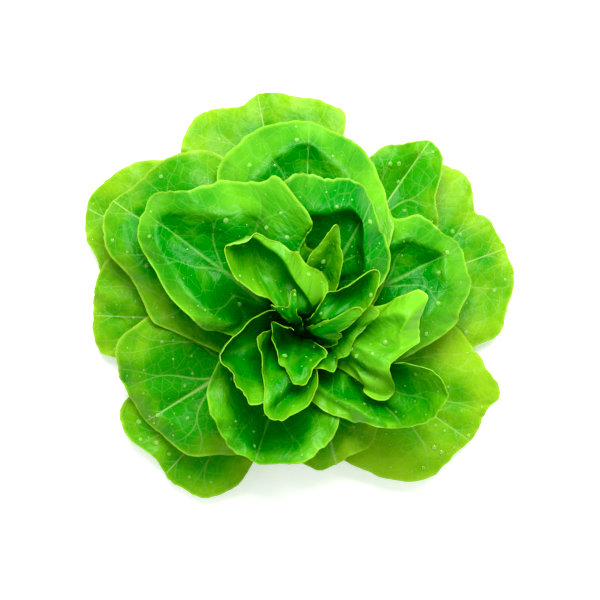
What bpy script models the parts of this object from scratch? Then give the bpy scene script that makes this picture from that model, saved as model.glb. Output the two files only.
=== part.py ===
"""Butterhead lettuce: a rosette of broad leaves around a short stem, standing on its cut stem.

The axis of the head is +Z and the origin is the middle of the cut face, on the surface that the
lettuce stands on. Every leaf is laid out by three numbers: the way along it from its foot, the
direction about the axis, and its layer, 0 for the outermost leaf and about 1 for the innermost.
Leaves in different layers never cross, so each leaf is pushed into a higher layer wherever it would
touch one that grows outside it. Lengths are in millimetres until a mesh is made.
"""
import math
from dataclasses import dataclass

import bmesh
import bpy
import numpy as np

MM = 0.001

# The stem: its cut face, its widest place, and how it narrows and rises towards the heart.
CUT_RADIUS = 11.5
CUT_BEVEL_HEIGHT = 2.5
STEM_RADIUS = 13.0
STEM_NARROWING = 7.5
STEM_NARROWING_POWER = 1.5
STEM_TIP_RADIUS = 0.8
FIRST_FOOT_HEIGHT = 5.0
FOOT_RISE = 42.0
TOP_LAYER = 1.2
STEM_SIDES = 20
STEM_RINGS = 11

# How a leaf bends between foot and rim: its slope at the foot and at the rim, by layer.
OUTER_FOOT_SLOPE = 14.0
FOOT_SLOPE_GAIN = 70.0
FOOT_SLOPE_POWER = 0.62
OUTER_RIM_SLOPE = -12.0
RIM_SLOPE_GAIN = 96.0
RIM_SLOPE_LAYERS = (0.36, 1.25)
BEND_AT = 46.0
BEND_GAIN = 20.0
BEND_POWER = 5
STEEPEST_LAYER = 1.1
HEART_LEAN = -10.0
LONGEST_WAY = 190.0

# The outline of a blade: its hidden sides near the foot, how far its midrib runs before the
# blade fans out, and how uneven its edge is.
HIDDEN_SIDE = 0.78
HIDDEN_SIDE_INSET = 4.0
HIDDEN_SIDE_WAY = 0.36
MIDRIB_REACH = 0.72
FAN_POWER = 1.85
FAN_CROWDING = 0.3
SCALLOP = 1.5
SCALLOP_FROM = 0.45
SCALLOP_COUNTS = (7, 9, 12)

# The relief of a blade: where out from the midrib each kind of fold acts, and from what part of
# its length on the leaf has its full height.
EDGE_HEIGHT = 1.2
EDGE_FROM = (0.62, 1.08)
EDGE_POWER = 1.3
KEEL_WIDTH = 0.32
WAVE_POWER = 1.6
RUFFLE_COUNTS = (3, 4, 6)
FULL_HEIGHT_FROM = (0.05, 0.5)

# The thickness of a blade and of its midrib, which narrows and ends before the tip.
BLADE = 0.9
MIDRIB = 1.6
MIDRIB_END = 0.8
MIDRIB_POWER = 1.2
MIDRIB_HALF_WIDTH = 1.5
MIDRIB_WIDENING = 4.0

# The room between the leaves, the stem and the surface, and the share of the layers inside a leaf
# that its folds may rise into. Depths are in mm a layer.
STEM_GAP = 0.3
STEM_GAP_GAIN = 1.2
FOOT_START = 0.4
LEAF_GAP = 1.0
THICKNESS_ROOM = 1.2
LEAST_DEPTH = 8.0
DEPTH_STEP = 0.001
DEPTH_LAYERS = (-0.1, 1.3)
LOWEST_LAYER = 0.018
FOLD_SHARE = 0.55
LAYER_SOFTNESS = 0.012

# Columns around and rows out from the midrib in each group's mesh. The columns are even in number.
OUTER_GRID = (24, 4)
MIDDLE_GRID = (26, 5)
HEART_GRID = (24, 6)
DENSE_GRID = (180, 60)

# The grid over way and direction that remembers the highest leaf so far.
STACK_STEP = 2.0
STACK_ROWS = 100
STACK_COLUMNS = 180
STACK_REACH = 4
FOOT_ROWS = 22
FOOT_REACH = 5
NOTHING_YET = -0.3

NODES, WEIGHTS = np.polynomial.legendre.leggauss(14)


@dataclass(frozen=True)
class Leaf:
    """One leaf as it lies in the head.

    rim lists points (direction from the midrib in degrees, distance from the axis in mm) along
    the leaf's edge, from its right side to its left. Heights are towards the heart: bowl raises
    the whole edge, keel sinks the midrib, roll turns the edge outwards, and waves and curls hold
    (direction, spread, height) of single folds in the outer half and at the edge. foot is half
    the width at the stem, base the share of the rim's width that the hidden sides keep, and fan
    how much of the midrib the blade fans out from and how fast it leaves it.
    """
    name: str
    azimuth: float
    layer: float
    rim: tuple
    bowl: float = 4.0
    keel: float = 2.0
    roll: float = 4.0
    ruffle: float = 2.5
    waves: tuple = ()
    curls: tuple = ()
    foot: float = 8.0
    base: float = HIDDEN_SIDE
    fan: tuple = (MIDRIB_REACH, FAN_POWER)
    midrib: float = MIDRIB


OUTER_LEAVES = (
    Leaf("outer_leaf_01", 20, 0.02,
         ((-40, 88), (-28, 108), (-22, 124), (-10, 134), (8, 134), (13, 129), (22, 137), (31, 127),
          (36, 103)),
         bowl=2, roll=2, waves=((-18, 10, 4), (18, 10, -3))),
    Leaf("outer_leaf_02", 152, 0.03,
         ((-32, 90), (-25, 115), (-22, 132), (-14, 146), (-8, 152), (4, 150), (10, 135), (17, 122),
          (24, 95)),
         bowl=3, roll=3, waves=((-12, 8, 3), (12, 9, 4))),
    Leaf("outer_leaf_03", 228, 0.04,
         ((-30, 85), (-24, 120), (-17, 131), (-9, 126), (9, 127), (14, 123), (20, 109), (24, 85)),
         bowl=5, roll=2, waves=((-20, 10, 3),)),
    Leaf("outer_leaf_04", 178, 0.05,
         ((-30, 91), (-20, 118), (-13, 129), (8, 128), (13, 115), (22, 86)),
         bowl=2, roll=3),
    Leaf("outer_leaf_05", 101, 0.06,
         ((-32, 84), (-24, 115), (-22, 134), (-10, 141), (-3, 146), (5, 140), (17, 143), (24, 131),
          (27, 101)),
         bowl=5, roll=3, waves=((14, 8, -4), (-18, 9, 4))),
    Leaf("outer_leaf_06", 325, 0.09,
         ((-48, 66), (-37, 90), (-21, 117), (-12, 124), (8, 126), (16, 129), (23, 115), (27, 104),
          (36, 91), (44, 73)),
         bowl=3, roll=3, waves=((18, 10, 4), (-24, 10, 3))),
    Leaf("outer_leaf_07", 55, 0.12,
         ((-24, 87), (-19, 103), (-11, 117), (-5, 134), (0, 137), (7, 126), (12, 115), (21, 84)),
         bowl=10, roll=6, keel=5, curls=((-12, 9, 7),)),
    Leaf("outer_leaf_08", 212, 0.15,
         ((-47, 67), (-33, 99), (-24, 116), (-11, 113), (5, 109), (17, 104), (25, 96), (33, 85),
          (39, 69)),
         bowl=10, roll=12, keel=5, waves=((-22, 12, 5), (18, 10, 4))),
    Leaf("outer_leaf_09", 147, 0.18,
         ((-38, 91), (-30, 117), (-22, 129), (-6, 132), (4, 137), (9, 133), (13, 124), (18, 108),
          (24, 97), (31, 92), (35, 80)),
         bowl=9, roll=11, keel=4, waves=((-22, 9, 6), (12, 8, 5))),
    Leaf("outer_leaf_10", 284, 0.21,
         ((-23, 64), (-17, 80), (-11, 85), (1, 86), (14, 82), (23, 75), (34, 63))),
)

MIDDLE_LEAVES = (
    Leaf("middle_leaf_01", 27, 0.30,
         ((-44, 62), (-29, 85), (-16, 101), (-7, 104), (7, 103), (17, 98), (23, 86), (29, 88),
          (35, 79)),
         bowl=16, roll=15, keel=3, waves=((14, 9, 5), (-22, 10, -3))),
    Leaf("middle_leaf_02", 88, 0.33,
         ((-42, 80), (-34, 90), (-20, 106), (-9, 116), (3, 122), (14, 120), (22, 115), (31, 103),
          (37, 85)),
         bowl=16, roll=17, keel=3),
    Leaf("middle_leaf_03", 250, 0.36,
         ((-62, 38), (-52, 60), (-34, 76), (-21, 83), (-4, 86), (19, 84), (28, 78), (41, 66),
          (51, 49)),
         bowl=22, roll=8, keel=3, waves=((-24, 12, 4), (20, 12, 3))),
    Leaf("middle_leaf_04", 62, 0.40,
         ((-38, 38), (-31, 58), (-22, 70), (-5, 84), (5, 95), (13, 98), (28, 98), (38, 88),
          (46, 65)),
         bowl=42, roll=28, keel=3, curls=((-18, 20, -6),)),
    Leaf("middle_leaf_05", 318, 0.44,
         ((-50, 32), (-39, 46), (-21, 60), (-10, 72), (-1, 86), (7, 96), (17, 101), (23, 101),
          (28, 92), (29, 77), (26, 55)),
         bowl=26, roll=3, curls=((-30, 18, -32), (15, 15, 4))),
    Leaf("middle_leaf_06", 143, 0.48,
         ((-56, 56), (-58, 76), (-45, 93), (-38, 92), (-23, 97), (-8, 114), (-4, 116), (8, 107),
          (16, 89), (24, 76), (35, 57), (40, 42)),
         bowl=12, roll=14, keel=10, waves=((-45, 9, 9), (-26, 5, -6), (-13, 6, 5), (20, 11, 9)),
         curls=((-50, 14, -8),)),
)

HEART_LEAVES = (
    Leaf("heart_leaf_01", 195, 0.53,
         ((-76, 34), (-58, 40), (-38, 43), (-22, 46), (-15, 54), (-8, 58), (6, 57), (24, 56),
          (38, 57), (50, 45)),
         bowl=22, roll=3, waves=((-60, 30, 14),), foot=7, base=0.6, midrib=1.4),
    Leaf("heart_leaf_02", 350, 0.56,
         ((-31, 38), (-33, 50), (-29, 58), (-18, 60), (-3, 63), (10, 65), (21, 69), (27, 75),
          (31, 68), (31, 56), (30, 44)),
         bowl=8, roll=14, keel=-3, waves=((-24, 12, -2), (20, 10, 4)), foot=7, base=0.6,
         fan=(0.8, 0.7), midrib=1.4),
    Leaf("heart_leaf_03", 70, 0.58,
         ((-20, 30), (-14, 42), (-7, 53), (0, 64), (4, 73), (8, 62), (16, 48), (22, 32)),
         bowl=8, roll=2, foot=5, base=0.5, midrib=1.0),
    Leaf("heart_leaf_04", 118, 0.62,
         ((-70, 28), (-48, 38), (-30, 46), (-20, 59), (-10, 69), (-5, 76), (2, 79), (10, 80),
          (16, 69), (15, 56), (9, 41)),
         bowl=26, roll=3, waves=((-46, 28, 24), (-10, 6, -6)), curls=((-46, 28, -54),), foot=5,
         base=0.45, fan=(0.8, 0.8), midrib=1.0),
    Leaf("heart_leaf_05", 250, 0.64,
         ((-74, 32), (-62, 36), (-48, 34), (-34, 35), (-20, 40), (-8, 49), (4, 54), (18, 46),
          (30, 40), (42, 31)),
         bowl=14, roll=2, waves=((-60, 14, 6), (-26, 12, -3)), foot=5, base=0.4, midrib=1.0),
    Leaf("heart_leaf_06", 340, 0.66,
         ((-56, 27), (-30, 29), (3, 32), (25, 37), (39, 45), (49, 44), (56, 34)),
         bowl=14, roll=12, foot=4, base=0.35, midrib=0.8),
    Leaf("heart_leaf_07", 44, 0.68,
         ((-32, 30), (-18, 43), (-12, 53), (-3, 61), (4, 60), (8, 51), (12, 42), (18, 38),
          (19, 32)),
         bowl=11, roll=2, waves=((15, 9, 5),), foot=3, base=0.35, midrib=0.8),
    Leaf("heart_leaf_08", 114, 0.72,
         ((-12, 27), (-17, 34), (-10, 33), (2, 33), (12, 35), (17, 35), (17, 27)),
         bowl=2, roll=0, ruffle=0.6, foot=2, base=0.45, fan=(0.8, 0.8), midrib=0.5),
    Leaf("heart_leaf_09", 12, 0.74,
         ((-40, 20), (-20, 25), (0, 30), (12, 39), (20, 41), (28, 33), (36, 24)),
         bowl=7, roll=1, foot=2, base=0.3, midrib=0.5),
    Leaf("heart_leaf_10", 245, 0.78,
         ((-106, 22), (-82, 21), (-50, 20), (-20, 22), (15, 27), (27, 29), (42, 25), (66, 22),
          (88, 22)),
         bowl=6, roll=1, foot=2, base=0.3, midrib=0.5),
)


def ease(x, low, high):
    """Rises smoothly from 0 at low to 1 at high."""
    x = np.clip((x - low) / (high - low), 0.0, 1.0)
    return x * x * (3 - 2 * x)


def foot_radius(layer):
    return STEM_RADIUS - STEM_NARROWING * np.clip(layer, 0, TOP_LAYER) ** STEM_NARROWING_POWER


def foot_height(layer):
    return FIRST_FOOT_HEIGHT + FOOT_RISE * layer


def slope(way, layer):
    """The angle of a leaf to the ground, in radians, at some way along it."""
    layer = np.clip(layer, 0.0, STEEPEST_LAYER)
    at_foot = np.radians(OUTER_FOOT_SLOPE + FOOT_SLOPE_GAIN * layer ** FOOT_SLOPE_POWER)
    at_rim = np.radians(OUTER_RIM_SLOPE + RIM_SLOPE_GAIN * ease(layer, *RIM_SLOPE_LAYERS))
    bend = BEND_AT + BEND_GAIN * layer
    return at_rim + (at_foot - at_rim) / (1.0 + (way / bend) ** BEND_POWER)


def profile(way, layer):
    """Distance from the axis and height, summed along the leaf by Gauss's rule."""
    way, layer = np.broadcast_arrays(np.asarray(way, float), np.asarray(layer, float))
    radius = foot_radius(layer)
    height = foot_height(layer)
    for node, weight in zip((NODES + 1) / 2, WEIGHTS / 2):
        angle = slope(way * node, layer)
        radius = radius + weight * way * np.cos(angle)
        height = height + weight * way * np.sin(angle)
    return radius, height


def layer_depth(way, layer):
    """How many mm, square to the leaf, one whole layer is worth there."""
    radius_in, height_in = profile(way, layer + DEPTH_STEP)
    radius_out, height_out = profile(way, layer - DEPTH_STEP)
    angle = slope(way, layer)
    rise = (height_in - height_out) * np.cos(angle) - (radius_in - radius_out) * np.sin(angle)
    return np.maximum(rise / (2 * DEPTH_STEP), LEAST_DEPTH)


def folds(direction, entries):
    """The sum of single folds, each a bell about its own direction."""
    total = np.zeros_like(direction)
    for place, spread, height in entries:
        total = total + height * np.exp(-(((direction - place) / spread) ** 2))
    return total


def ripple(around, counts, seed):
    """An uneven wave along the edge, the same for the same seed."""
    draw = np.random.default_rng(seed)
    total = np.zeros_like(around)
    for count in counts:
        size, turn = draw.uniform(0.5, 1.0), draw.uniform(0, 2 * np.pi)
        total = total + size * np.sin(np.pi * count * around + turn)
    return total / math.sqrt(len(counts))


def smooth_path(points, per_span=24):
    """A Catmull-Rom curve through the points."""
    points = np.array(points, float)
    ghosts = np.vstack([2 * points[0] - points[1], points, 2 * points[-1] - points[-2]])
    x = (np.arange(per_span) / per_span)[:, None]
    spans = []
    for k in range(1, len(ghosts) - 2):
        a, b, c, d = ghosts[k - 1:k + 3]
        cubic = 3 * b - a - 3 * c + d
        spans.append(0.5 * (2 * b + (c - a) * x + (2 * a - 5 * b + 4 * c - d) * x ** 2 + cubic * x ** 3))
    return np.vstack(spans + [points[-1:]])


class Blade:
    """The flat layout of a leaf: how wide and how long it is, and where its edge runs."""

    def __init__(self, leaf, seed):
        self.leaf = leaf
        self.seed = seed
        ways = np.arange(0, LONGEST_WAY, 0.25)
        radii, _ = profile(ways, np.full_like(ways, leaf.layer))
        edge = []
        for direction, distance in leaf.rim:
            along = np.interp(distance, radii, ways)
            edge.append((math.radians(direction) * distance, along))
        (right, right_way), (left, left_way) = edge[0], edge[-1]
        hidden_right = (leaf.base * right - HIDDEN_SIDE_INSET, HIDDEN_SIDE_WAY * right_way)
        hidden_left = (leaf.base * left + HIDDEN_SIDE_INSET, HIDDEN_SIDE_WAY * left_way)
        path = smooth_path([(-leaf.foot, 0), hidden_right] + edge + [hidden_left, (leaf.foot, 0)])
        across, along = path.T
        run = np.concatenate([[0], np.cumsum(np.hypot(*np.diff(path, axis=0).T))])
        crossings = np.flatnonzero((across[:-1] <= 0) & (across[1:] > 0))
        k = max(crossings, key=lambda index: along[index])
        tip = run[k] - across[k] * (run[k + 1] - run[k]) / (across[k + 1] - across[k])
        self.around = np.where(run < tip, run / tip - 1, (run - tip) / (run[-1] - tip))
        self.across, self.along = across, along
        self.length = float(np.interp(0, self.around, along))
        self.half_width = float(np.abs(across).max())

    def point(self, around, out):
        """Way along and distance across, for a place around the edge and out from the midrib."""
        along = np.interp(around, self.around, self.along)
        across = np.interp(around, self.around, self.across)
        uneven = SCALLOP * ripple(around, SCALLOP_COUNTS, 100 + self.seed) / self.length
        grown = 1 + uneven * ease(along, 0, SCALLOP_FROM * self.length)
        reach, power = self.leaf.fan
        start = reach * self.length * (1 - np.abs(around)) ** power
        share = out + FAN_CROWDING * out * (1 - out)
        return start + (along * grown - start) * share, across * grown * out

    def height(self, around, out, way, across, direction):
        """How far the leaf stands off its layer, towards the heart."""
        leaf = self.leaf
        at_edge = EDGE_HEIGHT * ease(out, *EDGE_FROM) ** EDGE_POWER
        total = leaf.bowl * out ** 2
        total = total - leaf.keel * np.exp(-((across / (KEEL_WIDTH * self.half_width)) ** 2))
        total = total + (folds(direction, leaf.curls) - leaf.roll) * at_edge
        total = total + folds(direction, leaf.waves) * out ** WAVE_POWER
        total = total + leaf.ruffle * ripple(around, RUFFLE_COUNTS, self.seed) * out ** 2
        return total * ease(way / self.length, *FULL_HEIGHT_FROM)

    def thickness(self, way, across):
        """The blade's thickness with its midrib, which fades towards the tip."""
        taper = np.clip(1 - way / (MIDRIB_END * self.length), 0, 1)
        rib = np.exp(-((across / (MIDRIB_HALF_WIDTH + MIDRIB_WIDENING * taper)) ** 2))
        return BLADE + self.leaf.midrib * taper ** MIDRIB_POWER * rib

    def settle(self, around, out, stack):
        """Way, direction and layer of the leaf's inner face, clear of every leaf outside it."""
        leaf = self.leaf
        along, across = self.point(around, out)
        way = np.maximum(along, FOOT_START)
        radius, _ = profile(way, np.full_like(way, leaf.layer))
        direction = across / radius
        wanted = self.height(around, out, way, across, np.degrees(direction))
        rise = wanted / layer_depth(way, np.full_like(way, leaf.layer))
        room = FOLD_SHARE * (TOP_LAYER - leaf.layer)
        wanted = leaf.layer + room * np.tanh(rise / room)
        bearing = math.radians(leaf.azimuth) + direction
        below = stack.read(way, bearing)
        thickness = self.thickness(way, across)
        lowest, highest = DEPTH_LAYERS
        depth = layer_depth(way, np.clip(below, leaf.layer + lowest, highest))
        least = below + (THICKNESS_ROOM * thickness + LEAF_GAP) / depth
        spare = wanted - least
        layer = least + 0.5 * (spare + np.sqrt(spare ** 2 + LAYER_SOFTNESS ** 2))
        return way, bearing, np.maximum(layer, LOWEST_LAYER), thickness


class Stack:
    """The highest layer reached so far, by way along and direction about the axis."""

    def __init__(self):
        self.top = np.full((STACK_ROWS, STACK_COLUMNS), NOTHING_YET)
        self.soft = self.top.copy()

    def cells(self, way, bearing):
        row = np.clip(way / STACK_STEP, 0, STACK_ROWS - 1.001)
        column = np.mod(bearing, 2 * np.pi) / (2 * np.pi) * STACK_COLUMNS
        return row, column

    def read(self, way, bearing):
        row, column = self.cells(way, bearing)
        i, j = np.floor(row).astype(int), np.floor(column).astype(int)
        down, over = row - i, column - j
        j, after = j % STACK_COLUMNS, (j + 1) % STACK_COLUMNS
        near = self.soft[i, j] * (1 - over) + self.soft[i, after] * over
        far = self.soft[i + 1, j] * (1 - over) + self.soft[i + 1, after] * over
        return near * (1 - down) + far * down

    def add(self, way, bearing, layer):
        row, column = self.cells(way, bearing)
        for down in (0, 1):
            for over in (0, 1):
                i = np.clip(np.floor(row).astype(int) + down, 0, STACK_ROWS - 1)
                j = (np.floor(column).astype(int) + over) % STACK_COLUMNS
                np.maximum.at(self.top, (i, j), layer)
        self.soften()

    def soften(self):
        """Spreads the top outwards, then blurs it, so that it stays above what it covers."""
        wide = self.top.copy()
        for _ in range(FOOT_REACH):
            feet = wide[:FOOT_ROWS]
            wide[:FOOT_ROWS] = np.maximum.reduce([feet, np.roll(feet, 1, 1), np.roll(feet, -1, 1)])
        for _ in range(STACK_REACH):
            wide = np.maximum.reduce([wide, *self.neighbours(wide)])
        for _ in range(STACK_REACH):
            wide = (2 * wide + sum(self.neighbours(wide))) / 6
        for _ in range(FOOT_REACH):
            feet = wide[:FOOT_ROWS]
            wide[:FOOT_ROWS] = (feet + np.roll(feet, 1, 1) + np.roll(feet, -1, 1)) / 3
        self.soft = np.maximum(wide, self.top)

    @staticmethod
    def neighbours(grid):
        return (np.vstack([grid[1:], grid[-1:]]), np.vstack([grid[:1], grid[:-1]]),
                np.roll(grid, 1, 1), np.roll(grid, -1, 1))


def lean(height):
    """How far the head has bent off its axis at some height."""
    return HEART_LEAN * (height / 100) ** 2


def place(way, bearing, layer):
    """Points in mm for places on leaves."""
    radius, height = profile(way, layer)
    return np.stack([radius * np.cos(bearing), radius * np.sin(bearing) + lean(height), height], -1)


def sheet(columns, rows):
    """Places around the edge and out from the midrib, for a leaf of so many columns and rows."""
    return np.meshgrid(np.linspace(-1, 1, columns + 1), np.linspace(0, 1, rows + 1), indexing="ij")


def new_material(name, colour, roughness):
    material = bpy.data.materials.new(name)
    material.use_nodes = True
    shader = material.node_tree.nodes["Principled BSDF"]
    shader.inputs["Base Color"].default_value = (*colour, 1.0)
    shader.inputs["Roughness"].default_value = roughness
    shader.inputs["Metallic"].default_value = 0.0
    return material


def new_object(name, bm, material):
    bmesh.ops.recalc_face_normals(bm, faces=bm.faces)
    mesh = bpy.data.meshes.new(name)
    bm.to_mesh(mesh)
    bm.free()
    mesh.materials.append(material)
    mesh.shade_smooth()
    mesh.set_sharp_from_angle(angle=math.radians(60))
    obj = bpy.data.objects.new(name, mesh)
    bpy.context.collection.objects.link(obj)
    return obj


def make_leaf(blade, stack, material, columns, rows):
    """A closed sheet: the inner face, the same triangles on the back, and a wall around them."""
    around, out = sheet(columns, rows)
    way, bearing, layer, thickness = blade.settle(around, out, stack)
    points = place(way, bearing, layer)
    bm = bmesh.new()
    front = {}
    for i in range(columns + 1):
        for j in range(rows + 1):
            folded = (min(i, columns - i), 0)
            if j == 0 and folded in front:
                front[i, j] = front[folded]
                continue
            front[i, j] = bm.verts.new(points[i, j] * MM)
    for i in range(columns):
        for j in range(rows):
            a, b = front[i, j], front[i, j + 1]
            c, d = front[i + 1, j + 1], front[i + 1, j]
            halves = ((a, b, d), (b, c, d)) if i < columns // 2 else ((a, b, c), (a, c, d))
            for corners in halves:
                if len(set(corners)) == 3:
                    bm.faces.new(corners)
    bm.normal_update()
    back = {}
    for key, vert in front.items():
        if vert not in back:
            back[vert] = bm.verts.new(vert.co - vert.normal * float(thickness[key]) * MM)
    for face in list(bm.faces):
        bm.faces.new([back[vert] for vert in reversed(face.verts)])
    for edge in [edge for edge in bm.edges if edge.is_boundary and edge.verts[0] in back]:
        loop = edge.link_loops[0]
        a, b = loop.vert, loop.link_loop_next.vert
        bm.faces.new((b, a, back[a]))
        bm.faces.new((b, back[a], back[b]))
    return new_object(blade.leaf.name, bm, material)


def make_stem(material):
    """The stem, turned from its outline: cut face, bevel, and the cone that the leaves sit on."""
    outline = [(0.0, 0.0), (CUT_RADIUS, 0.0), (STEM_RADIUS - STEM_GAP, CUT_BEVEL_HEIGHT)]
    for layer in np.linspace(0, TOP_LAYER, STEM_RINGS):
        gap = STEM_GAP + STEM_GAP_GAIN * layer ** 2
        outline.append((max(foot_radius(layer) - gap, STEM_TIP_RADIUS), foot_height(layer)))
    outline.append((0.0, outline[-1][1]))
    bm = bmesh.new()
    verts = [bm.verts.new((radius * MM, 0.0, height * MM)) for radius, height in outline]
    edges = [bm.edges.new(pair) for pair in zip(verts, verts[1:])]
    bmesh.ops.spin(bm, geom=verts + edges, cent=(0, 0, 0), axis=(0, 0, 1), angle=2 * math.pi,
                   steps=STEM_SIDES, use_merge=True)
    bmesh.ops.remove_doubles(bm, verts=bm.verts, dist=0.01 * MM)
    for vert in bm.verts:
        vert.co.y += lean(vert.co.z / MM) * MM
    return new_object("stem", bm, material)


def main():
    for obj in list(bpy.data.objects):
        bpy.data.objects.remove(obj, do_unlink=True)
    make_stem(new_material("cut_stem", (0.62, 0.64, 0.36), 0.6))
    groups = ((OUTER_LEAVES, OUTER_GRID, new_material("outer_leaf", (0.18, 0.42, 0.03), 0.45)),
              (MIDDLE_LEAVES, MIDDLE_GRID, new_material("middle_leaf", (0.12, 0.36, 0.02), 0.4)),
              (HEART_LEAVES, HEART_GRID, new_material("heart_leaf", (0.2, 0.45, 0.04), 0.45)))
    stack = Stack()
    seed = 0
    for leaves, grid, material in groups:
        for leaf in leaves:
            seed += 1
            blade = Blade(leaf, seed)
            make_leaf(blade, stack, material, *grid)
            way, bearing, layer, _ = blade.settle(*sheet(*DENSE_GRID), stack)
            stack.add(way, bearing, layer)


main()
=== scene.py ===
"""Looks of a head of butterhead lettuce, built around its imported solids.

Each leaf is grown again by the rule that its solid follows, far finer, and then gets what the solid
leaves out: the quilting between its veins, puckers, a frilled and finely toothed rim, and a blade as
thin as a real one. A cut stem, drops of water, a pale floor, soft light and the camera complete it.
Lengths are in millimetres until a mesh is made.
"""
import logging
import math
from dataclasses import dataclass
from enum import Enum
from typing import Any

import bpy
import numpy as np
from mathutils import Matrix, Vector
from mathutils.bvhtree import BVHTree


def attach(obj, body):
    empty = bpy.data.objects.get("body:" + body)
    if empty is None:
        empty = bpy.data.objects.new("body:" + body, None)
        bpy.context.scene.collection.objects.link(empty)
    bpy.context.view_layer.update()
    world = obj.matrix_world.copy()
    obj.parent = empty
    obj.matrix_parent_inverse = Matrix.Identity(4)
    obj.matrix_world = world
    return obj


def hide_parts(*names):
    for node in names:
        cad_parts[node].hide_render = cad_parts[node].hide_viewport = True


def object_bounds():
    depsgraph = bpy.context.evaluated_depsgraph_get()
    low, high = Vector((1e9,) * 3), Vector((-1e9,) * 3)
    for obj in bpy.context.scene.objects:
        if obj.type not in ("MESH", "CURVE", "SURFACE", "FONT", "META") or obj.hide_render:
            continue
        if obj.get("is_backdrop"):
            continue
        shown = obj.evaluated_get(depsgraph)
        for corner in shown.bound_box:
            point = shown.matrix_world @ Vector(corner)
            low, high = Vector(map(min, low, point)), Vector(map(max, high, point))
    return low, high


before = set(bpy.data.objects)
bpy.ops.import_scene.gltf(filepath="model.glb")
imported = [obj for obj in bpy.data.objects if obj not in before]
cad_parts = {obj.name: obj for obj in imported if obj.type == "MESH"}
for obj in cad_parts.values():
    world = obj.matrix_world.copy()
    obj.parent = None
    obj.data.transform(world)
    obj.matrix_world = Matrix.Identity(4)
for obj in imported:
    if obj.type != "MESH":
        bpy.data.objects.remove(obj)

MM = 0.001
BODY = "root"
Array = np.ndarray
log = logging.getLogger("lettuce")

# How far inside the solids' box a piece stays, in mm, and the angle in degrees from which the edge
# between two faces is shaded sharp.
BOX_MARGIN = 0.02
SHARP_ANGLE = 60.0

# The least and the greatest distance between side veins that the finish can use, in mm.
VEINS_APART = (0.5, 60.0)


class Group(Enum):
    """Where in the head a leaf grows. The value is its material slot."""
    OUTER = "outer_leaf"
    MIDDLE = "middle_leaf"
    HEART = "heart_leaf"


@dataclass(frozen=True)
class Leaf:
    """One leaf as it lies in the head, with the values of its solid.

    rim lists (direction from the midrib in degrees, distance from the axis) along the edge, from
    right to left. Heights are towards the heart: bowl raises the edge, keel sinks the midrib, roll
    turns the edge outwards, and waves and curls hold (direction, spread, height) of single folds in
    the outer half and at the edge. foot is half the width at the stem, base the share of the rim's
    width that the hidden sides keep, and fan how much of the midrib the blade fans out from and how
    fast it leaves it. midrib is how much thicker than the blade the midrib is at its foot.
    """
    name: str
    azimuth: float
    layer: float
    rim: tuple
    bowl: float = 4.0
    keel: float = 2.0
    roll: float = 4.0
    ruffle: float = 2.5
    waves: tuple = ()
    curls: tuple = ()
    foot: float = 8.0
    base: float = 0.78
    fan: tuple = (0.72, 1.85)
    midrib: float = 1.6

    @property
    def group(self) -> Group:
        """The group that the leaf's name gives."""
        return Group(self.name.rsplit("_", 1)[0])


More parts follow.
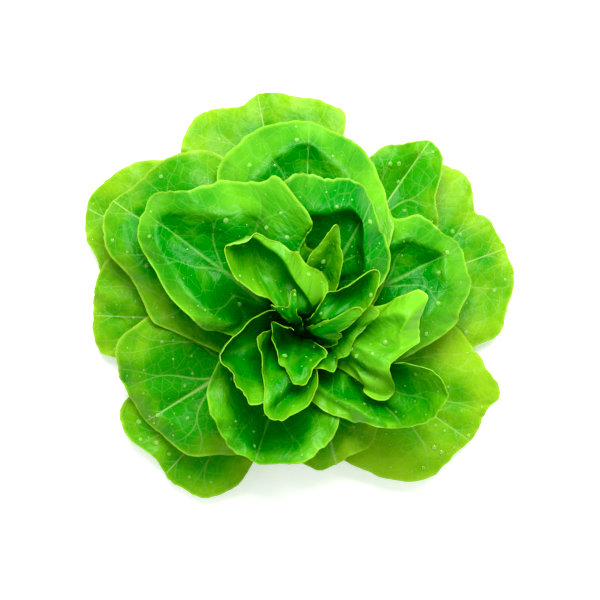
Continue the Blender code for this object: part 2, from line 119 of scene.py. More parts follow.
LEAVES = (
    Leaf("outer_leaf_01", 20, 0.02,
         ((-40, 88), (-28, 108), (-22, 124), (-10, 134), (8, 134), (13, 129), (22, 137), (31, 127),
          (36, 103)),
         bowl=2, roll=2, waves=((-18, 10, 4), (18, 10, -3))),
    Leaf("outer_leaf_02", 152, 0.03,
         ((-32, 90), (-25, 115), (-22, 132), (-14, 146), (-8, 152), (4, 150), (10, 135), (17, 122),
          (24, 95)),
         bowl=3, roll=3, waves=((-12, 8, 3), (12, 9, 4))),
    Leaf("outer_leaf_03", 228, 0.04,
         ((-30, 85), (-24, 120), (-17, 131), (-9, 126), (9, 127), (14, 123), (20, 109), (24, 85)),
         bowl=5, roll=2, waves=((-20, 10, 3),)),
    Leaf("outer_leaf_04", 178, 0.05,
         ((-30, 91), (-20, 118), (-13, 129), (8, 128), (13, 115), (22, 86)),
         bowl=2, roll=3),
    Leaf("outer_leaf_05", 101, 0.06,
         ((-32, 84), (-24, 115), (-22, 134), (-10, 141), (-3, 146), (5, 140), (17, 143), (24, 131),
          (27, 101)),
         bowl=5, roll=3, waves=((14, 8, -4), (-18, 9, 4))),
    Leaf("outer_leaf_06", 325, 0.09,
         ((-48, 66), (-37, 90), (-21, 117), (-12, 124), (8, 126), (16, 129), (23, 115), (27, 104),
          (36, 91), (44, 73)),
         bowl=3, roll=3, waves=((18, 10, 4), (-24, 10, 3))),
    Leaf("outer_leaf_07", 55, 0.12,
         ((-24, 87), (-19, 103), (-11, 117), (-5, 134), (0, 137), (7, 126), (12, 115), (21, 84)),
         bowl=10, roll=6, keel=5, curls=((-12, 9, 7),)),
    Leaf("outer_leaf_08", 212, 0.15,
         ((-47, 67), (-33, 99), (-24, 116), (-11, 113), (5, 109), (17, 104), (25, 96), (33, 85),
          (39, 69)),
         bowl=10, roll=12, keel=5, waves=((-22, 12, 5), (18, 10, 4))),
    Leaf("outer_leaf_09", 147, 0.18,
         ((-38, 91), (-30, 117), (-22, 129), (-6, 132), (4, 137), (9, 133), (13, 124), (18, 108),
          (24, 97), (31, 92), (35, 80)),
         bowl=9, roll=11, keel=4, waves=((-22, 9, 6), (12, 8, 5))),
    Leaf("outer_leaf_10", 284, 0.21,
         ((-23, 64), (-17, 80), (-11, 85), (1, 86), (14, 82), (23, 75), (34, 63))),
    Leaf("middle_leaf_01", 27, 0.30,
         ((-44, 62), (-29, 85), (-16, 101), (-7, 104), (7, 103), (17, 98), (23, 86), (29, 88),
          (35, 79)),
         bowl=16, roll=15, keel=3, waves=((14, 9, 5), (-22, 10, -3))),
    Leaf("middle_leaf_02", 88, 0.33,
         ((-42, 80), (-34, 90), (-20, 106), (-9, 116), (3, 122), (14, 120), (22, 115), (31, 103),
          (37, 85)),
         bowl=16, roll=17, keel=3),
    Leaf("middle_leaf_03", 250, 0.36,
         ((-62, 38), (-52, 60), (-34, 76), (-21, 83), (-4, 86), (19, 84), (28, 78), (41, 66),
          (51, 49)),
         bowl=22, roll=8, keel=3, waves=((-24, 12, 4), (20, 12, 3))),
    Leaf("middle_leaf_04", 62, 0.40,
         ((-38, 38), (-31, 58), (-22, 70), (-5, 84), (5, 95), (13, 98), (28, 98), (38, 88),
          (46, 65)),
         bowl=42, roll=28, keel=3, curls=((-18, 20, -6),)),
    Leaf("middle_leaf_05", 318, 0.44,
         ((-50, 32), (-39, 46), (-21, 60), (-10, 72), (-1, 86), (7, 96), (17, 101), (23, 101),
          (28, 92), (29, 77), (26, 55)),
         bowl=26, roll=3, curls=((-30, 18, -32), (15, 15, 4))),
    Leaf("middle_leaf_06", 143, 0.48,
         ((-56, 56), (-58, 76), (-45, 93), (-38, 92), (-23, 97), (-8, 114), (-4, 116), (8, 107),
          (16, 89), (24, 76), (35, 57), (40, 42)),
         bowl=12, roll=14, keel=10, waves=((-45, 9, 9), (-26, 5, -6), (-13, 6, 5), (20, 11, 9)),
         curls=((-50, 14, -8),)),
    Leaf("heart_leaf_01", 195, 0.53,
         ((-76, 34), (-58, 40), (-38, 43), (-22, 46), (-15, 54), (-8, 58), (6, 57), (24, 56),
          (38, 57), (50, 45)),
         bowl=22, roll=3, waves=((-60, 30, 14),), foot=7, base=0.6, midrib=1.4),
    Leaf("heart_leaf_02", 350, 0.56,
         ((-31, 38), (-33, 50), (-29, 58), (-18, 60), (-3, 63), (10, 65), (21, 69), (27, 75),
          (31, 68), (31, 56), (30, 44)),
         bowl=8, roll=14, keel=-3, waves=((-24, 12, -2), (20, 10, 4)), foot=7, base=0.6,
         fan=(0.8, 0.7), midrib=1.4),
    Leaf("heart_leaf_03", 70, 0.58,
         ((-20, 30), (-14, 42), (-7, 53), (0, 64), (4, 73), (8, 62), (16, 48), (22, 32)),
         bowl=8, roll=2, foot=5, base=0.5, midrib=1.0),
    Leaf("heart_leaf_04", 118, 0.62,
         ((-70, 28), (-48, 38), (-30, 46), (-20, 59), (-10, 69), (-5, 76), (2, 79), (10, 80),
          (16, 69), (15, 56), (9, 41)),
         bowl=26, roll=3, waves=((-46, 28, 24), (-10, 6, -6)), curls=((-46, 28, -54),), foot=5,
         base=0.45, fan=(0.8, 0.8), midrib=1.0),
    Leaf("heart_leaf_05", 250, 0.64,
         ((-74, 32), (-62, 36), (-48, 34), (-34, 35), (-20, 40), (-8, 49), (4, 54), (18, 46),
          (30, 40), (42, 31)),
         bowl=14, roll=2, waves=((-60, 14, 6), (-26, 12, -3)), foot=5, base=0.4, midrib=1.0),
    Leaf("heart_leaf_06", 340, 0.66,
         ((-56, 27), (-30, 29), (3, 32), (25, 37), (39, 45), (49, 44), (56, 34)),
         bowl=14, roll=12, foot=4, base=0.35, midrib=0.8),
    Leaf("heart_leaf_07", 44, 0.68,
         ((-32, 30), (-18, 43), (-12, 53), (-3, 61), (4, 60), (8, 51), (12, 42), (18, 38),
          (19, 32)),
         bowl=11, roll=2, waves=((15, 9, 5),), foot=3, base=0.35, midrib=0.8),
    Leaf("heart_leaf_08", 114, 0.72,
         ((-12, 27), (-17, 34), (-10, 33), (2, 33), (12, 35), (17, 35), (17, 27)),
         bowl=2, roll=0, ruffle=0.6, foot=2, base=0.45, fan=(0.8, 0.8), midrib=0.5),
    Leaf("heart_leaf_09", 12, 0.74,
         ((-40, 20), (-20, 25), (0, 30), (12, 39), (20, 41), (28, 33), (36, 24)),
         bowl=7, roll=1, foot=2, base=0.3, midrib=0.5),
    Leaf("heart_leaf_10", 245, 0.78,
         ((-106, 22), (-82, 21), (-50, 20), (-20, 22), (15, 27), (27, 29), (42, 25), (66, 22),
          (88, 22)),
         bowl=6, roll=1, foot=2, base=0.3, midrib=0.5),
)


def ease(x: Array, low: float, high: float) -> Array:
    """Rises smoothly from 0 at low to 1 at high."""
    x = np.clip((x - low) / (high - low), 0.0, 1.0)
    return x * x * (3 - 2 * x)


def folds(direction: Array, entries: tuple) -> Array:
    """Sums single folds, each a bell about its own direction.

    Args:
        direction: directions from the midrib, in degrees.
        entries: the folds, each as its direction, its spread in degrees and its height in mm.

    Returns:
        Their height in mm at each direction.
    """
    total = np.zeros_like(direction)
    for place, spread, height in entries:
        total = total + height * np.exp(-(((direction - place) / spread) ** 2))
    return total


def ripple(around: Array, counts: tuple, seed: int) -> Array:
    """Makes an uneven wave along the edge, the same for the same seed.

    Args:
        around: places around the edge, from -1 at one end of the foot over 0 at the tip to 1.
        counts: how many half waves each part of the wave has from the tip to the foot.
        seed: which wave it is.

    Returns:
        The wave at each place, about between -1 and 1.
    """
    draw = np.random.default_rng(seed)
    total = np.zeros_like(around)
    for count in counts:
        size, turn = draw.uniform(0.5, 1.0), draw.uniform(0, 2 * np.pi)
        total = total + size * np.sin(np.pi * count * around + turn)
    return total / math.sqrt(len(counts))


def smooth_path(points: list, per_span: int = 24) -> Array:
    """Draws a smooth curve through points. From each to the next it is a cubic.

    Args:
        points: the points, in order.
        per_span: how many steps the curve takes from a point to the next.

    Returns:
        The curve's points, one a row.
    """
    knots = np.array(points, float)
    ghosts = np.vstack([2 * knots[0] - knots[1], knots, 2 * knots[-1] - knots[-2]])
    x = (np.arange(per_span) / per_span)[:, None]
    spans = []
    for k in range(1, len(ghosts) - 2):
        a, b, c, d = ghosts[k - 1:k + 3]
        square = 2 * a - 5 * b + 4 * c - d
        cubic = 3 * b - a - 3 * c + d
        spans.append(0.5 * (2 * b + (c - a) * x + square * x ** 2 + cubic * x ** 3))
    return np.vstack(spans + [knots[-1:]])


def noise(x: Array, y: Array, seed: int) -> Array:
    """Smooth noise between -1 and 1, with its random values one unit apart.

    Args:
        x, y: places, in units of the noise.
        seed: which noise it is.

    Returns:
        The noise at each place.
    """
    side = 64
    table = np.random.default_rng(seed).uniform(-1, 1, (side, side))
    i, j = np.floor(x).astype(int), np.floor(y).astype(int)
    u, v = x - i, y - j
    u, v = u * u * (3 - 2 * u), v * v * (3 - 2 * v)
    near = table[i % side, j % side] * (1 - u) + table[(i + 1) % side, j % side] * u
    far = table[i % side, (j + 1) % side] * (1 - u) + table[(i + 1) % side, (j + 1) % side] * u
    return near * (1 - v) + far * v


@dataclass(frozen=True)
class Habit:
    """How the head grows, as its solids do: feet on the stem, slopes by layer, and a slight lean."""
    stem_radius: float = 13.0
    stem_narrowing: float = 7.5
    stem_narrowing_power: float = 1.5
    top_layer: float = 1.2
    first_foot_height: float = 5.0
    foot_rise: float = 42.0
    outer_foot_slope: float = 14.0
    foot_slope_gain: float = 70.0
    foot_slope_power: float = 0.62
    outer_rim_slope: float = -12.0
    rim_slope_gain: float = 96.0
    rim_slope_layers: tuple = (0.36, 1.25)
    bend_at: float = 46.0
    bend_gain: float = 20.0
    bend_power: int = 5
    steepest_layer: float = 1.1
    heart_lean: float = -10.0
    lean_height: float = 100.0
    least_depth: float = 8.0
    depth_step: float = 0.001
    sum_nodes: int = 14

    def foot_radius(self, layer: Array) -> Array:
        """Distance of a leaf's foot from the axis."""
        part = np.clip(layer, 0, self.top_layer) ** self.stem_narrowing_power
        return self.stem_radius - self.stem_narrowing * part

    def foot_height(self, layer: Array) -> Array:
        """Height of a leaf's foot."""
        return self.first_foot_height + self.foot_rise * layer

    def slope(self, way: Array, layer: Array) -> Array:
        """Finds how steep a leaf is.

        Args:
            way: the way along the leaf from its foot, in mm.
            layer: the leaf's layer, from 0 outside to about 1.2 in the heart.

        Returns:
            Its angle to the ground there, in radians.
        """
        layer = np.clip(layer, 0.0, self.steepest_layer)
        at_foot = self.outer_foot_slope + self.foot_slope_gain * layer ** self.foot_slope_power
        at_rim = self.outer_rim_slope + self.rim_slope_gain * ease(layer, *self.rim_slope_layers)
        bend = self.bend_at + self.bend_gain * layer
        return np.radians(at_rim + (at_foot - at_rim) / (1.0 + (way / bend) ** self.bend_power))

    def profile(self, way: Array, layer: Array) -> tuple[Array, Array]:
        """Follows a leaf from its foot, summing its slope at a few weighted places.

        Args:
            way: the way along the leaf, in mm.
            layer: the leaf's layer.

        Returns:
            The distance from the axis and the height reached, in mm.
        """
        way, layer = np.broadcast_arrays(np.asarray(way, float), np.asarray(layer, float))
        radius, height = self.foot_radius(layer), self.foot_height(layer)
        nodes, weights = np.polynomial.legendre.leggauss(self.sum_nodes)
        for node, weight in zip((nodes + 1) / 2, weights / 2):
            angle = self.slope(way * node, layer)
            radius = radius + weight * way * np.cos(angle)
            height = height + weight * way * np.sin(angle)
        return radius, height

    def depth(self, way: Array, layer: Array) -> Array:
        """Finds how thick a whole layer is.

        Args:
            way: the way along the leaf, in mm.
            layer: the leaf's layer.

        Returns:
            How many mm, square to the leaf, a layer is worth there.
        """
        radius_in, height_in = self.profile(way, layer + self.depth_step)
        radius_out, height_out = self.profile(way, layer - self.depth_step)
        angle = self.slope(way, layer)
        rise = (height_in - height_out) * np.cos(angle) - (radius_in - radius_out) * np.sin(angle)
        return np.maximum(rise / (2 * self.depth_step), self.least_depth)

    def place(self, way: Array, bearing: Array, layer: Array) -> Array:
        """Points in mm for places on leaves."""
        radius, height = self.profile(way, layer)
        return np.stack([radius * np.cos(bearing),
                         radius * np.sin(bearing) + self.lean(height), height], -1)

    def lean(self, height: Array) -> Array:
        """How far the head has bent off its axis at some height."""
        return self.heart_lean * (height / self.lean_height) ** 2


class Stack:
    """The highest layer reached so far, by way along and direction about the axis."""
    step: float = 2.0
    rows: int = 100
    columns: int = 180
    foot_rows: int = 22

    def __init__(self, reach: int, foot_reach: int, nothing_yet: float = -0.3) -> None:
        """Starts empty.

        Args:
            reach: how many cells the top spreads outwards before it is blurred.
            foot_reach: how many cells more it spreads sideways near the feet.
            nothing_yet: the layer where there is no leaf yet.
        """
        self.reach, self.foot_reach = reach, foot_reach
        self.top = np.full((self.rows, self.columns), nothing_yet)
        self.soft = self.top.copy()

    def cells(self, way: Array, bearing: Array) -> tuple[Array, Array]:
        """Row and column, with fractions. The row stays below the last, so that one follows it."""
        row = np.clip(way / self.step, 0, self.rows - 1.001)
        return row, np.mod(bearing, 2 * np.pi) / (2 * np.pi) * self.columns

    def read(self, way: Array, bearing: Array) -> Array:
        """Reads the softened top between its cells.

        Args:
            way: the way along a leaf, in mm.
            bearing: the direction about the axis, in radians.

        Returns:
            The layer of the top at each place.
        """
        row, column = self.cells(way, bearing)
        i, j = np.floor(row).astype(int), np.floor(column).astype(int)
        down, over = row - i, column - j
        j, after = j % self.columns, (j + 1) % self.columns
        near = self.soft[i, j] * (1 - over) + self.soft[i, after] * over
        far = self.soft[i + 1, j] * (1 - over) + self.soft[i + 1, after] * over
        return near * (1 - down) + far * down

    def add(self, way: Array, bearing: Array, layer: Array) -> None:
        """Raises the top to a leaf.

        Args:
            way: the way along the leaf of each of its places, in mm.
            bearing: the direction about the axis, in radians.
            layer: the layer that the leaf reaches there.
        """
        row, column = self.cells(way, bearing)
        for down in (0, 1):
            for over in (0, 1):
                i = np.clip(np.floor(row).astype(int) + down, 0, self.rows - 1)
                j = (np.floor(column).astype(int) + over) % self.columns
                np.maximum.at(self.top, (i, j), layer)
        self.soften()

    def soften(self) -> None:
        """Spreads the top outwards, then blurs it, so that it stays above what it covers."""
        wide = self.top.copy()
        for _ in range(self.foot_reach):
            feet = wide[:self.foot_rows]
            sides = [feet, np.roll(feet, 1, 1), np.roll(feet, -1, 1)]
            wide[:self.foot_rows] = np.maximum.reduce(sides)
        for _ in range(self.reach):
            wide = np.maximum.reduce([wide, *self.neighbours(wide)])
        for _ in range(self.reach):
            wide = (2 * wide + sum(self.neighbours(wide))) / 6
        for _ in range(self.foot_reach):
            feet = wide[:self.foot_rows]
            wide[:self.foot_rows] = (feet + np.roll(feet, 1, 1) + np.roll(feet, -1, 1)) / 3
        self.soft = np.maximum(wide, self.top)

    @staticmethod
    def neighbours(grid: Array) -> tuple:
        """The grid moved by one cell each way."""
        return (np.vstack([grid[1:], grid[-1:]]), np.vstack([grid[:1], grid[:-1]]),
                np.roll(grid, 1, 1), np.roll(grid, -1, 1))


@dataclass
class Sheet:
    """A leaf's inner face: its grid, where it lies, and how thick the solid is there."""
    around: Array
    out: Array
    across: Array
    along: Array
    way: Array
    bearing: Array
    layer: Array
    thickness: Array


@dataclass(frozen=True)
class BladeForm:
    """What every blade has in common, in its solid and in its looks. Lengths in mm.

    teeth lists (height, width) of the uneven teeth of the rim, which its solid leaves out, and
    teeth_from is the share of the blade from which they grow.
    """
    longest_way: float = 190.0
    way_step: float = 0.25
    hidden_side_inset: float = 4.0
    hidden_side_way: float = 0.36
    fan_crowding: float = 0.3
    scallop: float = 1.5
    scallop_from: float = 0.45
    scallop_counts: tuple = (7, 9, 12)
    scallop_seed: int = 100
    teeth: tuple = ((0.55, 2.6), (0.35, 6.0))
    teeth_from: float = 0.8
    edge_height: float = 1.2
    edge_from: tuple = (0.62, 1.08)
    edge_power: float = 1.3
    keel_width: float = 0.32
    wave_power: float = 1.6
    ruffle_counts: tuple = (3, 4, 6)
    full_height_from: tuple = (0.05, 0.5)
    solid_blade: float = 0.9
    midrib_end: float = 0.8
    midrib_power: float = 1.2
    midrib_half_width: float = 1.5
    midrib_widening: float = 4.0
    leaf_gap: float = 1.0
    thickness_room: float = 1.2
    depth_layers: tuple = (-0.1, 1.3)
    lowest_layer: float = 0.018
    fold_share: float = 0.55
    layer_softness: float = 0.012
    foot_start: float = 0.4
    solid_grid: tuple = (180, 60)


class Blade:
    """One leaf laid flat and in place: its outline, its heights and its room among the others."""

    def __init__(self, leaf: Leaf, seed: int, habit: Habit, form: BladeForm) -> None:
        """Finds the outline from the leaf's rim points.

        Args:
            leaf: the leaf's values.
            seed: which leaf it is, for what is random in it.
            habit: how the head grows.
            form: what every blade has in common.
        """
        self.leaf, self.seed, self.habit, self.form = leaf, seed, habit, form
        ways = np.arange(0, form.longest_way, form.way_step)
        radii, _ = habit.profile(ways, np.full_like(ways, leaf.layer))
        edge = []
        for direction, distance in leaf.rim:
            edge.append((math.radians(direction) * distance, np.interp(distance, radii, ways)))
        (right, right_way), (left, left_way) = edge[0], edge[-1]
        side, inset = leaf.base, form.hidden_side_inset
        hidden_right = (side * right - inset, form.hidden_side_way * right_way)
        hidden_left = (side * left + inset, form.hidden_side_way * left_way)
        path = smooth_path([(-leaf.foot, 0), hidden_right] + edge + [hidden_left, (leaf.foot, 0)])
        across, along = path.T
        run = np.concatenate([[0], np.cumsum(np.hypot(*np.diff(path, axis=0).T))])
        crossings = np.flatnonzero((across[:-1] <= 0) & (across[1:] > 0))
        k = max(crossings, key=lambda index: along[index])
        tip = run[k] - across[k] * (run[k + 1] - run[k]) / (across[k + 1] - across[k])
        self.around = np.where(run < tip, run / tip - 1, (run - tip) / (run[-1] - tip))
        self.across, self.along = across, along
        self.right_edge, self.left_edge = float(tip), float(run[-1] - tip)
        self.length = float(np.interp(0, self.around, along))
        self.half_width = float(np.abs(across).max())

    def point(self, around: Array, out: Array, teeth: Array | float = 0.0) -> tuple[Array, Array]:
        """Finds where a place lies on the flat leaf.

        Args:
            around: the place around the edge, from -1 to 1 with the tip at 0.
            out: the place between the midrib at 0 and the edge at 1.
            teeth: how far the rim's teeth stand out there, in mm.

        Returns:
            The distances across from the midrib and along from the foot, in mm.
        """
        form = self.form
        along = np.interp(around, self.around, self.along)
        across = np.interp(around, self.around, self.across)
        scallop = ripple(around, form.scallop_counts, form.scallop_seed + self.seed)
        uneven = form.scallop * scallop + teeth
        grown = 1 + uneven / self.length * ease(along, 0, form.scallop_from * self.length)
        reach, power = self.leaf.fan
        start = reach * self.length * (1 - np.abs(around)) ** power
        share = out + form.fan_crowding * out * (1 - out)
        return across * grown * out, start + (along * grown - start) * share

    def height(self, around: Array, out: Array, way: Array, across: Array, turn: Array) -> Array:
        """Finds how far the leaf stands off its layer, as in its solid.

        Args:
            around, out: the place on the leaf.
            way: the way along the leaf, in mm.
            across: the distance from the midrib, in mm.
            turn: the direction from the midrib, in degrees.

        Returns:
            The height towards the heart, in mm.
        """
        leaf, form = self.leaf, self.form
        at_edge = form.edge_height * ease(out, *form.edge_from) ** form.edge_power
        total = leaf.bowl * out ** 2
        total = total - leaf.keel * np.exp(-((across / (form.keel_width * self.half_width)) ** 2))
        total = total + (folds(turn, leaf.curls) - leaf.roll) * at_edge
        total = total + folds(turn, leaf.waves) * out ** form.wave_power
        total = total + leaf.ruffle * ripple(around, form.ruffle_counts, self.seed) * out ** 2
        return total * ease(way / self.length, *form.full_height_from)

    def thickness(self, way: Array, across: Array, blade: float) -> Array:
        """Finds the thickness with the midrib, which fades towards the tip.

        Args:
            way: the way along the leaf, in mm.
            across: the distance from the midrib, in mm.
            blade: the thickness beside the midrib, in mm.

        Returns:
            The thickness, in mm.
        """
        form = self.form
        taper = np.clip(1 - way / (form.midrib_end * self.length), 0, 1)
        rib = np.exp(-((across / (form.midrib_half_width + form.midrib_widening * taper)) ** 2))
        return blade + self.leaf.midrib * taper ** form.midrib_power * rib

    def settle(self, columns: int, rows: int, stack: Stack, teeth: bool = False) -> Sheet:
        """Lays the blade on the leaves outside it.

        Args:
            columns, rows: how fine its grid is, around the edge and out from the midrib.
            stack: the leaves outside it.
            teeth: whether the rim gets its fine teeth.

        Returns:
            The blade's inner face, clear of every leaf outside it.
        """
        form, leaf, habit = self.form, self.leaf, self.habit
        around, out = np.meshgrid(np.linspace(-1, 1, columns + 1), np.linspace(0, 1, rows + 1),
                                  indexing="ij")
        across, along = self.point(around, out, self.teeth(around, out) if teeth else 0.0)
        way = np.maximum(along, form.foot_start)
        radius, _ = habit.profile(way, np.full_like(way, leaf.layer))
        turn = across / radius
        wanted = self.height(around, out, way, across, np.degrees(turn))
        rise = wanted / habit.depth(way, np.full_like(way, leaf.layer))
        room = form.fold_share * (habit.top_layer - leaf.layer)
        wanted = leaf.layer + room * np.tanh(rise / room)
        bearing = math.radians(leaf.azimuth) + turn
        below = stack.read(way, bearing)
        thickness = self.thickness(way, across, form.solid_blade)
        lowest, highest = form.depth_layers
        depth = habit.depth(way, np.clip(below, leaf.layer + lowest, highest))
        least = below + (form.thickness_room * thickness + form.leaf_gap) / depth
        spare = wanted - least
        layer = least + 0.5 * (spare + np.sqrt(spare ** 2 + form.layer_softness ** 2))
        layer = np.maximum(layer, form.lowest_layer)
        return Sheet(around, out, across, along, way, bearing, layer, thickness)

    def teeth(self, around: Array, out: Array) -> Array:
        """Finds how far the fine teeth of the rim stand out.

        Args:
            around, out: the place on the leaf.

        Returns:
            The distance, in mm.
        """
        run = self.rim_run(around)
        size = np.zeros_like(run)
        for k, (height, width) in enumerate(self.form.teeth):
            size = size + height * noise(run / width, np.full_like(run, k), self.seed)
        return size * ease(out, self.form.teeth_from, 1.0)

    def rim_run(self, around: Array) -> Array:
        """The way along the rim from the tip, in mm."""
        return np.where(around < 0, around * self.right_edge, around * self.left_edge)


@dataclass(frozen=True)
class Relief:
    """The fine relief of a blade that its solid leaves out. Heights and widths in mm.

    veins is how many side veins leave each side of the midrib, which bend by bent and wander by
    wander of their distance. quilt is how far the blade bulges between them, more or less by
    uneven, with valley of it below the leaf's layer. pucker gives the small lumps, and frill the
    waves of the last part of the blade, from frill_from outwards, with finer ones on them. gap is
    kept to the leaves outside and inside. floor_share is how much of its thickness it keeps off
    the leaf outside it, and lowest how far it keeps off the ground.
    """
    grid: tuple
    veins: float
    quilt: float
    pucker: float
    frill: float
    blade: float = 0.65
    rim_blade: float = 0.4
    rim_blade_from: float = 0.85
    bent: float = 0.45
    wander: float = 0.3
    wander_width: float = 24.0
    wander_from: tuple = (0.05, 0.5)
    wander_beside: tuple = (0.02, 0.2)
    valley: float = 0.35
    uneven: float = 0.35
    uneven_width: float = 15.0
    pucker_width: float = 9.0
    body_from: tuple = (0.02, 0.25)
    body_along: tuple = (0.02, 0.3)
    frill_width: float = 7.5
    frill_from: float = 0.7
    frill_power: float = 1.4
    frill_along: float = 0.35
    fine_frill: float = 0.4
    fine_frill_width: float = 0.45
    gap: float = 0.35
    floor_share: float = 1.15
    lowest: float = 0.2
    softness: float = 0.0075
    uneven_seed: int = 40
    pucker_seed: int = 60
    frill_seed: int = 80

    def phase(self, blade: Blade, sheet: Sheet) -> Array:
        """Counts side veins from the tip.

        Args:
            blade, sheet: the leaf, as its solid lies.

        Returns:
            A count that is whole on a vein and a half midway between two.
        """
        around, out, width = sheet.around, sheet.out, self.wander_width
        straight = self.veins * around / (1 + self.bent * out * (1 - out))
        wander = self.wander * noise(sheet.across / width, sheet.along / width, blade.seed)
        fade = ease(out, *self.wander_from) * ease(np.abs(around), *self.wander_beside)
        return straight + wander * fade

    def heights(self, blade: Blade, sheet: Sheet, phase: Array) -> Array:
        """Adds up the fine relief.

        Args:
            blade, sheet: the leaf, as its solid lies.
            phase: the count of side veins.

        Returns:
            The height towards the heart, in mm.
        """
        across, along, out, seed = sheet.across, sheet.along, sheet.out, blade.seed
        width, narrow = self.uneven_width, self.pucker_width
        between = 0.5 - 0.5 * np.cos(2 * np.pi * phase)
        uneven = self.uneven * noise(across / width, along / width, seed + self.uneven_seed)
        body = self.quilt * (between * (1 - self.uneven + uneven) - self.valley)
        lumps = noise(across / narrow, along / narrow, seed + self.pucker_seed)
        body = (body + self.pucker * lumps) * ease(out, *self.body_from)
        start, full = self.body_along
        body = body * ease(along, start * blade.length, full * blade.length)
        run, seed = blade.rim_run(sheet.around), seed + self.frill_seed
        wave = noise(run / self.frill_width, np.zeros_like(run), seed)
        fine = noise(run / (self.fine_frill_width * self.frill_width), np.ones_like(run), seed)
        at_rim = ease(out, self.frill_from, 1.0) ** self.frill_power
        at_rim = at_rim * ease(along, 0, self.frill_along * blade.length)
        return body + self.frill * (wave + self.fine_frill * fine) * at_rim

    def thickness(self, blade: Blade, sheet: Sheet) -> Array:
        """The real blade is thinner than its solid, and thinnest at the rim."""
        thin = ease(sheet.out, self.rim_blade_from, 1.0) * (self.rim_blade - self.blade) + self.blade
        return blade.thickness(sheet.way, sheet.across, 0.0) + thin

    def limit(self, wanted: Array, floor: Array, lid: Array) -> Array:
        """Keeps layers between the leaf below and the leaf above, bending them softly.

        Args:
            wanted: the layers that the leaf would have by itself.
            floor: the lowest layers that it may have. They win where there is no room.
            lid: the highest.

        Returns:
            The layers that it gets.
        """
        lid = np.maximum(lid, floor)
        over = wanted - floor
        held = floor + 0.5 * (over + np.sqrt(over ** 2 + self.softness ** 2))
        under = lid - held
        return np.maximum(lid - 0.5 * (under + np.sqrt(under ** 2 + self.softness ** 2)), floor)


# The layers over which outer leaves turn from yellow-green at 0 to a deeper green at 1, and the
# leaves that have a value of their own instead. This darkening is partly the leaves' own tone and
# partly painted shade on leaves that lie under others; a value below 0 is painted light on a leaf in
# shade.
SHADED_LAYERS = (0.09, 0.14)
TONE_AND_PAINTED_SHADE = {
    "outer_leaf_03": 0.6, "outer_leaf_06": -0.5, "outer_leaf_07": 1.3, "outer_leaf_10": -0.2,
    "middle_leaf_01": 0.35, "middle_leaf_02": 0.4, "middle_leaf_03": 0.5, "middle_leaf_04": 1.3,
    "middle_leaf_05": 0.1, "middle_leaf_06": 0.5,
    "heart_leaf_01": 0.6, "heart_leaf_02": -0.8, "heart_leaf_03": -0.2, "heart_leaf_04": 0.0,
    "heart_leaf_05": 0.3, "heart_leaf_06": 0.3, "heart_leaf_07": 0.4, "heart_leaf_08": 0.8,
    "heart_leaf_09": 0.6, "heart_leaf_10": 0.6,
}

RELIEFS = {
    Group.OUTER: Relief(grid=(190, 44), veins=6, quilt=1.9, pucker=0.5, frill=1.5),
    Group.MIDDLE: Relief(grid=(190, 44), veins=6, quilt=2.1, pucker=0.6, frill=2.0),
    Group.HEART: Relief(grid=(150, 34), veins=4, quilt=1.1, pucker=0.35, frill=1.5),
}


@dataclass(frozen=True)
class Grown:
    """A finished leaf's inner and outer face on one grid, with what its finish reads."""
    leaf: Leaf
    inner: Array
    outer: Array
    place: Array
    flat: Array


